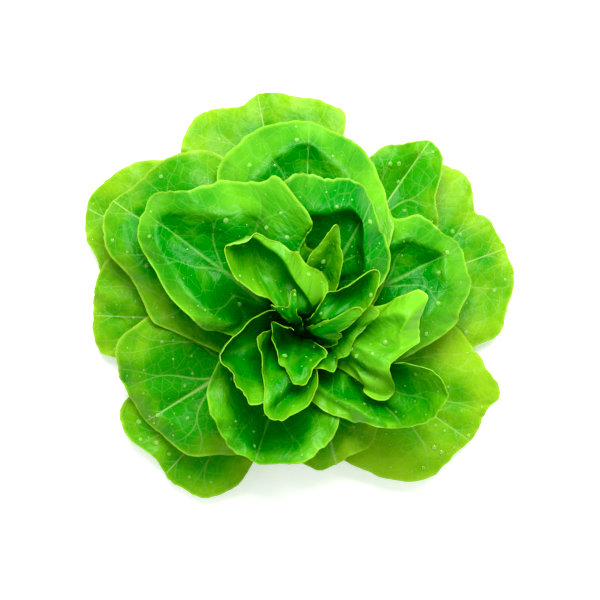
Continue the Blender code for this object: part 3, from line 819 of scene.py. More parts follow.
class Rosette:
    """All the leaves of the head."""

    def __init__(self, leaves: tuple, habit: Habit, form: BladeForm) -> None:
        """Lays out each leaf's blade.

        Args:
            leaves: the leaves' values, in the order of their solids.
            habit: how the head grows.
            form: what every blade has in common.
        """
        self.habit, self.form = habit, form
        self.blades = [Blade(leaf, k + 1, habit, form) for k, leaf in enumerate(leaves)]

    def grow(self) -> list[Grown]:
        """Settles every leaf as its solid is, then adds its fine relief between its neighbours.

        Returns:
            The finished leaves, from the outermost to the innermost.
        """
        stack = Stack(reach=4, foot_reach=5)
        sheets = []
        for blade in self.blades:
            columns, rows = RELIEFS[blade.leaf.group].grid
            sheets.append(blade.settle(columns, rows, stack, teeth=True))
            solid = blade.settle(*self.form.solid_grid, stack)
            stack.add(solid.way, solid.bearing, solid.layer)
        lids = self.lids(sheets)
        below = Stack(reach=1, foot_reach=0)
        grown = []
        for blade, sheet, lid in zip(self.blades, sheets, lids):
            grown.append(self.finish(blade, sheet, lid, below))
        return grown

    def lids(self, sheets: list[Sheet]) -> list[Array]:
        """Finds what lies on each leaf.

        Args:
            sheets: the leaves, as their solids lie.

        Returns:
            For each leaf, the lowest layer of the leaves inside it, at each of its places.
        """
        above = Stack(reach=1, foot_reach=0, nothing_yet=-2.0)
        lids = []
        for sheet in reversed(sheets):
            lids.append(-above.read(sheet.way, sheet.bearing))
            depth = self.habit.depth(sheet.way, sheet.layer)
            above.add(sheet.way, sheet.bearing, sheet.thickness / depth - sheet.layer)
        return lids[::-1]

    def finish(self, blade: Blade, sheet: Sheet, lid: Array, below: Stack) -> Grown:
        """Adds the fine relief to a leaf, and gives it its outer face.

        Args:
            blade, sheet: the leaf, as its solid lies.
            lid: the layer that it must stay under.
            below: the finished leaves outside it, to which it is added.

        Returns:
            The finished leaf.
        """
        relief = RELIEFS[blade.leaf.group]
        depth = self.habit.depth(sheet.way, sheet.layer)
        phase = relief.phase(blade, sheet)
        thickness = relief.thickness(blade, sheet)
        wanted = sheet.layer + relief.heights(blade, sheet, phase) / depth
        kept = (relief.floor_share * thickness + relief.gap) / depth
        floor = np.maximum(below.read(sheet.way, sheet.bearing) + kept, self.form.lowest_layer)
        layer = relief.limit(wanted, floor, lid - relief.gap / depth)
        below.add(sheet.way, sheet.bearing, layer)
        inner = self.habit.place(sheet.way, sheet.bearing, layer)
        outer = inner - thickness[..., None] * self.normals(inner)
        outer[..., 2] = np.maximum(outer[..., 2], relief.lowest)
        place = np.stack([sheet.around, sheet.out, phase], -1)
        flat = np.stack([sheet.across, sheet.along, self.period(sheet, phase)], -1)
        return Grown(blade.leaf, inner, outer, place, flat)

    @staticmethod
    def normals(points: Array) -> Array:
        """Finds which way a blade faces, the same on both sides of the midrib.

        Args:
            points: the blade's grid, in mm.

        Returns:
            Unit normals towards the heart.
        """
        du, dv = np.gradient(points, axis=0), np.gradient(points, axis=1)
        normal = np.cross(dv, du)
        normal[:, 0] = normal[:, 1]
        normal[:, 0] = normal[:, 0] + normal[::-1, 0]
        normal[0], normal[-1] = normal[1], normal[-2]
        return normal / np.maximum(np.linalg.norm(normal, axis=-1, keepdims=True), 1e-9)

    @staticmethod
    def period(sheet: Sheet, phase: Array) -> Array:
        """Finds how far side veins are apart.

        Args:
            sheet: the leaf, as its solid lies.
            phase: the count of side veins.

        Returns:
            The distance from a vein to the next, in mm, within what the finish can use.
        """
        du = np.stack([np.gradient(sheet.across, axis=0), np.gradient(sheet.along, axis=0)])
        dv = np.stack([np.gradient(sheet.across, axis=1), np.gradient(sheet.along, axis=1)])
        area = np.abs(du[0] * dv[1] - du[1] * dv[0]) / np.maximum(np.hypot(*dv), 1e-6)
        step = np.maximum(np.abs(np.gradient(phase, axis=0)), 1e-6)
        return np.clip(area / step, *VEINS_APART)


def mesh_object(name: str, points: Array, faces: list, material: bpy.types.Material) -> Any:
    """Makes a smooth mesh object.

    Args:
        name: its name.
        points: its vertices, in mm.
        faces: its faces, as lists of vertex numbers.
        material: its material.

    Returns:
        The object.
    """
    mesh = bpy.data.meshes.new(name)
    mesh.from_pydata((points * MM).tolist(), [], faces)
    mesh.materials.append(material)
    mesh.shade_smooth()
    mesh.set_sharp_from_angle(angle=math.radians(SHARP_ANGLE))
    obj = bpy.data.objects.new(name, mesh)
    bpy.context.scene.collection.objects.link(obj)
    return obj


def inside(points: Array, box: tuple[Vector, Vector]) -> Array:
    """Points in mm kept inside a box in metres."""
    low, high = (np.array(corner) / MM for corner in box)
    return np.clip(points, low + BOX_MARGIN, high - BOX_MARGIN)


class LeafPiece:
    """A leaf as a closed mesh: inner face, outer face and the thin wall of its rim."""

    def __init__(self, grown: Grown) -> None:
        """Numbers the grid's vertices, with both halves sharing those on the midrib.

        Args:
            grown: the finished leaf.
        """
        self.grown = grown
        columns, rows = grown.inner.shape[:2]
        index = np.arange(columns * rows).reshape(columns, rows)
        index[:, 0] = np.minimum(index[:, 0], index[::-1, 0])
        self.used, self.index = np.unique(index, return_inverse=True)
        self.index = self.index.reshape(columns, rows)

    def faces(self) -> list:
        """Lists the closed mesh's faces, outwards. Where the blade's halves meet, some are triangles.

        Returns:
            The faces, as lists of vertex numbers.
        """
        index, count = self.index, len(self.used)
        columns, rows = index.shape
        inner, outer = [], []
        for i in range(columns - 1):
            for j in range(rows - 1):
                ring = [index[i, j], index[i, j + 1], index[i + 1, j + 1], index[i + 1, j]]
                ring = [int(v) for k, v in enumerate(ring) if v != ring[k - 1]]
                if len(set(ring)) == len(ring) and len(ring) > 2:
                    inner.append(ring)
                    outer.append([v + count for v in reversed(ring)])
        edges = {}
        for ring in inner:
            edges.update(dict.fromkeys(zip(ring, ring[1:] + ring[:1])))
        wall = [[b, a, a + count, b + count] for a, b in edges if (b, a) not in edges]
        return inner + outer + wall

    def build(self, material: bpy.types.Material, box: tuple[Vector, Vector]) -> Any:
        """Makes the object, with the attributes that its finish reads.

        Args:
            material: the finish of its group.
            box: the box of the solids, in metres, that it stays in.

        Returns:
            The object, which replaces the leaf's solid.
        """
        grown, leaf = self.grown, self.grown.leaf
        points = [face.reshape(-1, 3)[self.used] for face in (grown.inner, grown.outer)]
        obj = mesh_object(leaf.name + "_blade", inside(np.vstack(points), box), self.faces(),
                          material)
        count = len(self.used)
        # leaf_shade darkens the whole leaf: partly its own tone, partly painted shade, and painted
        # light where below 0.
        shade = TONE_AND_PAINTED_SHADE.get(leaf.name, ease(leaf.layer, *SHADED_LAYERS))
        place, flat = (np.tile(grid.reshape(-1, 3)[self.used], (2, 1))
                       for grid in (grown.place, grown.flat))
        for name, kind, key, values in (
                ("leaf_place", "FLOAT_VECTOR", "vector", place),
                ("leaf_flat", "FLOAT_VECTOR", "vector", flat),
                ("leaf_side", "FLOAT", "value", np.repeat([0.0, 1.0], count)),
                ("leaf_shade", "FLOAT", "value", np.full(2 * count, shade))):
            attribute = obj.data.attributes.new(name, kind, "POINT")
            attribute.data.foreach_set(key, values.astype(np.float32).ravel())
        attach(obj, BODY)
        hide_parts(leaf.name)
        return obj


def linear(colour: str) -> tuple[float, float, float, float]:
    """Turns an sRGB colour to a linear one.

    Args:
        colour: the colour in hex, such as 3FA01B.

    Returns:
        Linear red, green and blue, and an alpha of 1.
    """
    parts = [int(colour[k:k + 2], 16) / 255 for k in (0, 2, 4)]
    parts = [c / 12.92 if c <= 0.04045 else ((c + 0.055) / 1.055) ** 2.4 for c in parts]
    return (*parts, 1.0)


def add(tree: Any, kind: str, values: dict, **settings: Any) -> Any:
    """Adds a node to a tree.

    Args:
        tree: the node tree.
        kind: the node's type.
        values: for each input a socket to link, a node whose first output to link, or a value.
        settings: the node's own settings.

    Returns:
        The node.
    """
    node = tree.nodes.new(kind)
    for name, value in settings.items():
        setattr(node, name, value)
    for name, value in values.items():
        if isinstance(value, bpy.types.Node):
            value = value.outputs[0]
        if isinstance(value, bpy.types.NodeSocket):
            tree.links.new(value, node.inputs[name])
        else:
            node.inputs[name].default_value = value
    return node


def bare_material(name: str) -> tuple[bpy.types.Material, Any]:
    """Makes a material without nodes.

    Args:
        name: its name.

    Returns:
        The material and its tree.
    """
    material = bpy.data.materials.new(name)
    material.use_nodes = True
    material.node_tree.nodes.clear()
    return material, material.node_tree


def plain_material(name: str, values: dict) -> bpy.types.Material:
    """Makes a material that is the same all over.

    Args:
        name: its name.
        values: what its skin's inputs are set to.

    Returns:
        The material.
    """
    material = bpy.data.materials.new(name)
    material.use_nodes = True
    skin = material.node_tree.nodes["Principled BSDF"]
    for key, value in values.items():
        skin.inputs[key].default_value = value
    return material


@dataclass(frozen=True)
class LeafFinish:
    """Fresh lettuce leaf: a waxy, thin, see-through skin over watery green tissue.

    It shines softly, glows where light comes from behind, is paler underneath, and has a network of
    pale veins and a thin pale rim. Colours are sRGB hex, widths and heights mm. What ends in from is
    a share of the blade, from the midrib at 0 to the edge at 1. A pair is a value's start and end.
    """
    name: str
    deep: str
    bright: str
    rim: str
    vein: str
    glow: str
    veins: float
    midrib_share: float
    hollow: float = -0.4
    crest: float = 0.35
    crest_from: float = 0.45
    # How far leaf_shade darkens a leaf: partly its own tone, partly painted shade.
    shaded: float = 0.0
    under: str = "66A03A"
    under_share: float = 0.6
    rim_from: float = 0.95
    rim_share: float = 0.85
    roughness: float = 0.38
    ior: float = 1.4
    specular: float = 0.3
    glow_share: float = 0.2
    mottle_width: float = 26.0
    mottle_noise: tuple = (0.32, 0.68)
    mottle: tuple = (0.1, 0.9)
    fork_from: float = 0.48
    fork: float = 0.27
    vein_core: float = 0.1
    vein_width: tuple = (1.0, 0.45)
    vein_fade: tuple = (0.3, 0.97)
    vein_end: float = 0.35
    midrib_core: float = 0.2
    midrib_way: tuple = (5.0, 95.0)
    midrib_width: tuple = (4.2, 0.6)
    net_width: float = 7.5
    net_line: float = 0.42
    net_share: float = 0.24
    fine_net_width: float = 2.8
    fine_net_line: float = 0.3
    fine_net_share: float = 0.08
    mesh_half: float = 0.4
    bump: float = 1.0
    crumple: float = 0.9
    crumples_per_mm: float = 0.13
    grain: float = 0.2
    grains_per_mm: float = 0.6
    swell: float = 0.16
    sunk: float = 0.2

    def make(self) -> bpy.types.Material:
        """Builds the material.

        Returns:
            The material.
        """
        material, tree = bare_material(self.name)
        place = add(tree, "ShaderNodeAttribute", {}, attribute_name="leaf_place")
        flat = add(tree, "ShaderNodeAttribute", {}, attribute_name="leaf_flat")
        side = add(tree, "ShaderNodeAttribute", {}, attribute_name="leaf_side")
        place = add(tree, "ShaderNodeSeparateXYZ", {0: place.outputs["Vector"]})
        flat = add(tree, "ShaderNodeSeparateXYZ", {0: flat.outputs["Vector"]})
        pattern = add(tree, "ShaderNodeCombineXYZ", {0: flat.outputs[0], 1: flat.outputs[1]})
        net, bulge = self.network(tree, pattern, self.net_width, self.net_line)
        fine, _ = self.network(tree, pattern, self.fine_net_width, self.fine_net_line)
        lines = add(tree, "ShaderNodeMath", {0: self.side_veins(tree, place, flat),
                                             1: self.midrib(tree, flat)}, operation="MAXIMUM")
        for small, share in ((net, self.net_share), (fine, self.fine_net_share)):
            small = add(tree, "ShaderNodeMath", {0: small, 1: share}, operation="MULTIPLY")
            lines = add(tree, "ShaderNodeMath", {0: lines, 1: small}, operation="MAXIMUM")
        colour = self.colour(tree, place, side, pattern, lines)
        height = self.relief(tree, lines, bulge, pattern)
        bump = add(tree, "ShaderNodeBump", {"Strength": self.bump, "Distance": MM, "Height": height})
        skin = add(tree, "ShaderNodeBsdfPrincipled", {
            "Base Color": colour, "Roughness": self.roughness, "IOR": self.ior,
            "Specular IOR Level": self.specular, "Normal": bump})
        light = add(tree, "ShaderNodeMix", {"Factor": lines, "A": linear(self.glow),
                                            "B": linear(self.rim)}, data_type="RGBA")
        glow = add(tree, "ShaderNodeBsdfTranslucent", {"Color": light.outputs["Result"],
                                                       "Normal": bump})
        both = add(tree, "ShaderNodeMixShader", {0: self.glow_share, 1: skin, 2: glow})
        add(tree, "ShaderNodeOutputMaterial", {"Surface": both})
        return material

    def side_veins(self, tree: Any, place: Any, flat: Any) -> Any:
        """Draws pale side veins, which fork on their way out and narrow.

        Args:
            tree: the material's tree.
            place, flat: the nodes that split up leaf_place and leaf_flat.

        Returns:
            The node that gives their mask.
        """
        out = place.outputs[1]
        off = add(tree, "ShaderNodeMath", {0: place.outputs[2], 1: 0.5}, operation="ADD")
        off = add(tree, "ShaderNodeMath", {0: off}, operation="FRACT")
        off = add(tree, "ShaderNodeMath", {0: off, 1: 0.5}, operation="SUBTRACT")
        off = add(tree, "ShaderNodeMath", {0: off}, operation="ABSOLUTE")
        fork = add(tree, "ShaderNodeMapRange", {"Value": out, 1: self.fork_from, 2: 1.0, 3: 0.0,
                                                4: self.fork}, interpolation_type="SMOOTHSTEP")
        off = add(tree, "ShaderNodeMath", {0: off, 1: fork}, operation="SUBTRACT")
        off = add(tree, "ShaderNodeMath", {0: off}, operation="ABSOLUTE")
        away = add(tree, "ShaderNodeMath", {0: off, 1: flat.outputs[2]}, operation="MULTIPLY")
        start, end = self.vein_width
        width = add(tree, "ShaderNodeMapRange", {"Value": out, 1: 0.0, 2: 1.0, 3: start, 4: end})
        mask = add(tree, "ShaderNodeMapRange", {"Value": away, 1: self.vein_core, 2: width, 3: 1.0,
                                                4: 0.0}, interpolation_type="SMOOTHSTEP")
        start, end = self.vein_fade
        faded = add(tree, "ShaderNodeMapRange", {"Value": out, 1: start, 2: end, 3: self.veins,
                                                 4: self.vein_end * self.veins})
        return add(tree, "ShaderNodeMath", {0: mask, 1: faded}, operation="MULTIPLY")

    def midrib(self, tree: Any, flat: Any) -> Any:
        """Draws the pale midrib, which narrows from its foot.

        Args:
            tree: the material's tree.
            flat: the node that splits up leaf_flat.

        Returns:
            The node that gives its mask.
        """
        away = add(tree, "ShaderNodeMath", {0: flat.outputs[0]}, operation="ABSOLUTE")
        (start, end), (wide, narrow) = self.midrib_way, self.midrib_width
        width = add(tree, "ShaderNodeMapRange", {"Value": flat.outputs[1], 1: start, 2: end, 3: wide,
                                                 4: narrow})
        return add(tree, "ShaderNodeMapRange", {"Value": away, 1: self.midrib_core, 2: width,
                                                3: self.midrib_share, 4: 0.0},
                   interpolation_type="SMOOTHSTEP")

    def network(self, tree: Any, pattern: Any, width: float, line: float) -> tuple[Any, Any]:
        """Draws a network of small veins.

        Args:
            tree: the material's tree.
            pattern: the node that gives places on the flat blade, in mm.
            width, line: the width of a mesh and of a vein, in mm.

        Returns:
            The nodes that give the veins' mask, and how far a place is from one, from 0 to 1.
        """
        cells = add(tree, "ShaderNodeTexVoronoi", {"Vector": pattern, "Scale": 1 / width,
                                                   "Randomness": 1.0},
                    feature="DISTANCE_TO_EDGE", voronoi_dimensions="2D").outputs["Distance"]
        mask = add(tree, "ShaderNodeMapRange", {"Value": cells, 1: 0.0, 2: line / width, 3: 1.0,
                                                4: 0.0}, interpolation_type="SMOOTHSTEP")
        bulge = add(tree, "ShaderNodeMapRange", {"Value": cells, 1: 0.0, 2: self.mesh_half, 3: 0.0,
                                                 4: 1.0}, interpolation_type="SMOOTHSTEP")
        return mask, bulge

    def colour(self, tree: Any, place: Any, side: Any, pattern: Any, lines: Any) -> Any:
        """Makes a green that brightens outwards and in blotches, with pale veins, rim and underside.

        Args:
            tree: the material's tree.
            place: the node that splits up leaf_place.
            side: the node that reads leaf_side.
            pattern: the node that gives places on the flat blade, in mm.
            lines: the node that gives the mask of all veins.

        Returns:
            The socket that gives the colour.
        """
        (low, high), (least, most) = self.mottle_noise, self.mottle
        blotch = add(tree, "ShaderNodeTexNoise", {"Vector": pattern, "Scale": 1 / self.mottle_width,
                                                  "Detail": 3.0})
        blotch = add(tree, "ShaderNodeMapRange", {"Value": blotch.outputs["Fac"], 1: low, 2: high,
                                                  3: least, 4: most})
        outward = add(tree, "ShaderNodeMapRange", {
            "Value": place.outputs[1], 1: self.crest_from, 2: 1.0, 3: self.hollow, 4: self.crest},
            interpolation_type="SMOOTHSTEP")
        # Darkens whole leaves by leaf_shade: partly their own tone and partly painted shade, or
        # painted light where it is below 0.
        shade = add(tree, "ShaderNodeAttribute", {}, attribute_name="leaf_shade")
        shade = add(tree, "ShaderNodeMath", {0: shade.outputs["Fac"], 1: -self.shaded},
                    operation="MULTIPLY")
        share = add(tree, "ShaderNodeMath", {0: blotch, 1: outward}, operation="ADD")
        share = add(tree, "ShaderNodeMath", {0: share, 1: shade}, operation="ADD", use_clamp=True)
        below = add(tree, "ShaderNodeMath", {0: side.outputs["Fac"], 1: self.under_share},
                    operation="MULTIPLY")
        rim = add(tree, "ShaderNodeMapRange", {
            "Value": place.outputs[1], 1: self.rim_from, 2: 1.0, 3: 0.0, 4: self.rim_share},
            interpolation_type="SMOOTHSTEP")
        green = linear(self.deep)
        for mask, over in ((share, self.bright), (below, self.under), (lines, self.vein),
                           (rim, self.rim)):
            green = add(tree, "ShaderNodeMix", {"Factor": mask, "A": green, "B": linear(over)},
                        data_type="RGBA").outputs["Result"]
        return green

    def relief(self, tree: Any, lines: Any, bulge: Any, pattern: Any) -> Any:
        """Sinks the veins in the skin, and lets it bulge a little in each mesh of the network.

        Args:
            tree: the material's tree.
            lines: the node that gives the mask of all veins.
            bulge: the node that gives how far a place is from the network's veins.
            pattern: the node that gives places on the flat blade, in mm.

        Returns:
            The node that gives the height, in mm.
        """
        grain = add(tree, "ShaderNodeTexNoise", {"Vector": pattern, "Scale": self.grains_per_mm,
                                                 "Detail": 2.0})
        crumple = add(tree, "ShaderNodeTexNoise", {
            "Vector": pattern, "Scale": self.crumples_per_mm, "Detail": 2.0, "Distortion": 0.6})
        total = 0.0
        for part, height in ((grain.outputs["Fac"], self.grain),
                             (crumple.outputs["Fac"], self.crumple), (bulge, self.swell),
                             (lines, -self.sunk)):
            total = add(tree, "ShaderNodeMath", {0: part, 1: height, 2: total},
                        operation="MULTIPLY_ADD")
        return total


LEAF_FINISHES = {
    Group.OUTER: LeafFinish(
        "lettuce_leaf_outer", deep="229204", bright="8EBA20", rim="A2C440", vein="A8C872",
        glow="C0E024", veins=0.55, midrib_share=0.8, hollow=-0.25, crest=0.3, shaded=0.4,
        glow_share=0.35, crumple=0.5, bump=0.8),
    Group.MIDDLE: LeafFinish(
        "lettuce_leaf_middle", deep="027C00", bright="6AB01E", rim="8CBC38", vein="7EB052",
        glow="54CC0A", veins=0.45, midrib_share=0.5, hollow=-0.25, crest=0.35, shaded=0.5),
    Group.HEART: LeafFinish(
        "lettuce_leaf_heart", deep="068202", bright="70B424", rim="9CC440", vein="74AC44",
        glow="60CC0C", veins=0.2, midrib_share=0.25, hollow=-0.2, crest=0.4, shaded=0.45),
}


@dataclass(frozen=True)
class StemFinish:
    """Cut lettuce stem: moist, pale flesh, browned in rings where it was cut.

    Its skin is greener, and leaf green in the heart. A pair is heights above the cut face in mm,
    between which one turns into the other. wave_period is what a wave texture repeats after.
    """
    name: str = "lettuce_stem_cut"
    flesh: str = "E6E8C0"
    skin: str = "BCD088"
    skin_heights: tuple = (0.5, 4.0)
    heart: str = "3C8A12"
    heart_heights: tuple = (16.0, 32.0)
    browned: str = "C8A070"
    browned_heights: tuple = (0.0, 1.0)
    browned_share: float = 0.7
    ring_width: float = 2.6
    wave_period: float = 0.31
    fibres_per_mm: float = 0.9
    fibre_depth: float = 0.4
    roughness: float = 0.5
    ior: float = 1.4

    def make(self) -> bpy.types.Material:
        """Builds the material.

        Returns:
            The material.
        """
        material, tree = bare_material(self.name)
        where = add(tree, "ShaderNodeTexCoord", {}).outputs["Object"]
        height = add(tree, "ShaderNodeSeparateXYZ", {0: where}).outputs[2]
        rings = add(tree, "ShaderNodeTexWave", {
            "Vector": where, "Scale": self.wave_period / (self.ring_width * MM), "Distortion": 1.5,
            "Detail": 2.0}, wave_type="RINGS", rings_direction="Z")
        low, high = self.browned_heights
        fade = add(tree, "ShaderNodeMapRange", {"Value": height, 1: low * MM, 2: high * MM,
                                                3: self.browned_share, 4: 0.0})
        share = add(tree, "ShaderNodeMath", {0: rings.outputs["Fac"], 1: fade},
                    operation="MULTIPLY")
        masks = [add(tree, "ShaderNodeMapRange", {"Value": height, 1: low * MM, 2: high * MM})
                 for low, high in (self.skin_heights, self.heart_heights)]
        body = linear(self.flesh)
        for mask, over in zip(masks + [share], (self.skin, self.heart, self.browned)):
            body = add(tree, "ShaderNodeMix", {"Factor": mask, "A": body, "B": linear(over)},
                       data_type="RGBA").outputs["Result"]
        fibre = add(tree, "ShaderNodeTexNoise", {
            "Vector": where, "Scale": self.fibres_per_mm / MM, "Detail": 3.0})
        bump = add(tree, "ShaderNodeBump", {"Strength": 0.5, "Distance": self.fibre_depth * MM,
                                            "Height": fibre.outputs["Fac"]})
        skin = add(tree, "ShaderNodeBsdfPrincipled", {
            "Base Color": body, "Roughness": self.roughness, "IOR": self.ior, "Normal": bump})
        add(tree, "ShaderNodeOutputMaterial", {"Surface": skin})
        return material


@dataclass(frozen=True)
class Stem:
    """The short cut stem, turned and slightly ribbed. Lengths in mm."""
    habit: Habit
    cut_radius: float = 11.5
    cut_bevel: float = 0.4
    bevel_height: float = 2.5
    gap: float = 0.3
    gap_gain: float = 1.2
    tip_radius: float = 0.8
    face_steps: int = 8
    steps: int = 60
    sides: int = 96
    rib: float = 0.25
    ribs: int = 9

    def outline(self) -> Array:
        """Draws half the stem's section.

        Returns:
            Radius and height from the middle of the cut face to the tip.
        """
        habit, bevel = self.habit, self.cut_bevel
        face = [(radius, 0.0) for radius in np.linspace(0, self.cut_radius - bevel, self.face_steps)]
        side = [(self.cut_radius, bevel), (habit.stem_radius - self.gap, self.bevel_height)]
        cone = []
        for layer in np.linspace(0, habit.top_layer, self.steps):
            radius = float(habit.foot_radius(layer)) - self.gap - self.gap_gain * layer ** 2
            cone.append((max(radius, self.tip_radius), float(habit.foot_height(layer))))
        return np.array(face + side + cone + [(0.0, cone[-1][1])])

    def build(self, finish: StemFinish, box: tuple[Vector, Vector]) -> Any:
        """Makes the stem, which replaces its solid.

        Args:
            finish: its finish.
            box: the box of the solids, in metres, that it stays in.

        Returns:
            The object.
        """
        turns = np.linspace(0, 2 * np.pi, self.sides, endpoint=False)
        ribbed = 1 - self.rib * (1 - np.cos(self.ribs * turns)) / (2 * self.habit.stem_radius)
        points, rings = [], []
        for radius, height in self.outline():
            shift = float(self.habit.lean(height))
            if radius == 0:
                rings.append([len(points)])
                points.append((0.0, shift, height))
                continue
            rings.append(list(range(len(points), len(points) + self.sides)))
            for turn, share in zip(turns, ribbed):
                points.append((radius * share * math.cos(turn),
                               radius * share * math.sin(turn) + shift, height))
        faces = []
        for low, high in zip(rings, rings[1:]):
            for k in range(self.sides):
                after = (k + 1) % self.sides
                corners = [low[k % len(low)], low[after % len(low)],
                           high[after % len(high)], high[k % len(high)]]
                faces.append([v for n, v in enumerate(corners) if v != corners[n - 1]])
        obj = mesh_object("stem_core", inside(np.array(points), box), faces, finish.make())
        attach(obj, BODY)
        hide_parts("stem")
        return obj


@dataclass(frozen=True)
class WaterFinish:
    """Clear water: mirror-smooth, bends light at IOR 1.33, and lets the leaf show through. Its pale
    green colour is painted light, which makes each drop lighter than the leaf under it.
    """
    name: str = "clear_water"
    # Painted light: this pale colour, seen at alpha, lightens the leaf under each drop.
    colour: str = "B4E080"
    roughness: float = 0.05
    ior: float = 1.33
    alpha: float = 0.3

    def make(self) -> bpy.types.Material:
        """Builds the material."""
        return plain_material(self.name, {"Base Color": linear(self.colour), "IOR": self.ior,
                                          "Roughness": self.roughness, "Alpha": self.alpha})


@dataclass(frozen=True)
class Dew:
    """Drops of water, left from washing, on the skyward parts of the leaves. Lengths in mm.

    smallest and largest are radii, and rarity makes the large ones rarer. density is drops a square
    mm. flatness and raised are half a drop's height and how far its middle stands off the leaf, in
    radii. Drops lie where a face's normal rises more than steepest, inside rim_from, the share of
    the blade where its rim starts, and where nothing is above them from lift upwards.
    """
    smallest: float = 0.4
    largest: float = 1.7
    rarity: float = 2.6
    spacing: float = 4.5
    density: float = 0.009
    flatness: float = 0.55
    raised: float = 0.25
    fineness: int = 2
    seed: int = 7
    steepest: float = 0.35
    rim_from: float = 0.93
    lift: float = 0.3

    def ground(self, leaves: list) -> Any:
        """Joins the inner faces that lie open to the sky, to scatter drops on.

        Args:
            leaves: the leaves' objects.

        Returns:
            The faces as one object.
        """
        points, faces, tops = [], [], []
        for obj in leaves:
            mesh = obj.data
            base = len(points)
            points.extend(v.co.copy() for v in mesh.vertices)
            side = np.zeros(len(mesh.vertices), np.float32)
            mesh.attributes["leaf_side"].data.foreach_get("value", side)
            place = np.zeros(3 * len(mesh.vertices), np.float32)
            mesh.attributes["leaf_place"].data.foreach_get("vector", place)
            out = place.reshape(-1, 3)[:, 1]
            for polygon in mesh.polygons:
                ring = list(polygon.vertices)
                face = [base + v for v in ring]
                faces.append(face)
                wet = max(side[ring]) == 0 and max(out[ring]) < self.rim_from
                if wet and polygon.normal.z > self.steepest:
                    tops.append((face, polygon.center.copy()))
        tree = BVHTree.FromPolygons(points, faces)
        up, lift = Vector((0, 0, 1)), Vector((0, 0, self.lift * MM))
        open_faces = [face for face, centre in tops if tree.ray_cast(centre + lift, up)[0] is None]
        used = sorted({v for face in open_faces for v in face})
        number = {v: k for k, v in enumerate(used)}
        mesh = bpy.data.meshes.new("wet_ground")
        mesh.from_pydata([points[v] for v in used], [],
                         [[number[v] for v in face] for face in open_faces])
        obj = bpy.data.objects.new("wet_ground", mesh)
        bpy.context.scene.collection.objects.link(obj)
        return obj

    def scatter(self) -> bpy.types.NodeTree:
        """Makes the node tree that puts a flattened drop on random places.

        Returns:
            The tree, with its sizes as named inputs.
        """
        tree = bpy.data.node_groups.new("drops", "GeometryNodeTree")
        face = tree.interface
        face.new_socket("Geometry", in_out="INPUT", socket_type="NodeSocketGeometry")
        for name in ("Smallest", "Largest", "Rarity", "Spacing", "Density", "Flatness", "Raised"):
            face.new_socket(name, in_out="INPUT", socket_type="NodeSocketFloat")
        for name in ("Fineness", "Seed"):
            face.new_socket(name, in_out="INPUT", socket_type="NodeSocketInt")
        face.new_socket("Water", in_out="INPUT", socket_type="NodeSocketMaterial")
        face.new_socket("Geometry", in_out="OUTPUT", socket_type="NodeSocketGeometry")
        given = add(tree, "NodeGroupInput", {}).outputs
        where = add(tree, "GeometryNodeDistributePointsOnFaces", {
            "Mesh": given["Geometry"], "Distance Min": given["Spacing"],
            "Density Max": given["Density"], "Seed": given["Seed"]}, distribute_method="POISSON")
        ball = add(tree, "GeometryNodeMeshIcoSphere", {"Radius": 1.0,
                                                       "Subdivisions": given["Fineness"]})
        shape = add(tree, "ShaderNodeCombineXYZ", {0: 1.0, 1: 1.0, 2: given["Flatness"]})
        raised = add(tree, "ShaderNodeCombineXYZ", {2: given["Raised"]})
        drop = add(tree, "GeometryNodeTransform", {
            "Geometry": ball.outputs["Mesh"], "Translation": raised, "Scale": shape})
        chance = add(tree, "FunctionNodeRandomValue", {"Seed": given["Seed"]}, data_type="FLOAT")
        rare = add(tree, "ShaderNodeMath", {0: chance.outputs[1], 1: given["Rarity"]},
                   operation="POWER")
        size = add(tree, "ShaderNodeMapRange", {"Value": rare, 3: given["Smallest"],
                                                4: given["Largest"]})
        many = add(tree, "GeometryNodeInstanceOnPoints", {
            "Points": where.outputs["Points"], "Instance": drop,
            "Rotation": where.outputs["Rotation"], "Scale": size})
        real = add(tree, "GeometryNodeRealizeInstances", {"Geometry": many})
        smooth = add(tree, "GeometryNodeSetShadeSmooth", {"Geometry": real})
        wet = add(tree, "GeometryNodeSetMaterial", {"Geometry": smooth, "Material": given["Water"]})
        add(tree, "NodeGroupOutput", {"Geometry": wet})
        return tree

    def build(self, leaves: list, finish: WaterFinish) -> Any:
        """Scatters the drops over the leaves.

        Args:
            leaves: the leaves' objects.
            finish: the drops' finish.

        Returns:
            The drops, as one plain mesh object.
        """
        ground = self.ground(leaves)
        tree = self.scatter()
        modifier = ground.modifiers.new("drops", "NODES")
        modifier.node_group = tree
        given = {"Smallest": self.smallest * MM, "Largest": self.largest * MM,
                 "Rarity": self.rarity, "Spacing": self.spacing * MM,
                 "Density": self.density / MM ** 2, "Flatness": self.flatness,
                 "Raised": self.raised, "Fineness": self.fineness, "Seed": self.seed,
                 "Water": finish.make()}
        for item in tree.interface.items_tree:
            if item.in_out == "INPUT" and item.name in given:
                modifier[item.identifier] = given[item.name]
        bpy.context.view_layer.update()
        seen = ground.evaluated_get(bpy.context.evaluated_depsgraph_get())
        mesh = bpy.data.meshes.new_from_object(seen)
        bpy.data.objects.remove(ground, do_unlink=True)
        mesh.name = "dew"
        obj = bpy.data.objects.new("dew", mesh)
        bpy.context.scene.collection.objects.link(obj)
        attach(obj, BODY)
        return obj


@dataclass(frozen=True)
class PaperFinish:
    """White backdrop paper: matt, with a faint light of its own that keeps it white in the view."""
    name: str = "white_paper"
    colour: str = "FAFAFA"
    roughness: float = 0.8
    specular: float = 0.1
    glow_colour: str = "F6FFF4"
    glow: float = 0.25

    def make(self) -> bpy.types.Material:
        """Builds the material."""
        return plain_material(self.name, {
            "Base Color": linear(self.colour), "Roughness": self.roughness,
            "Specular IOR Level": self.specular, "Emission Color": linear(self.glow_colour),
            "Emission Strength": self.glow})


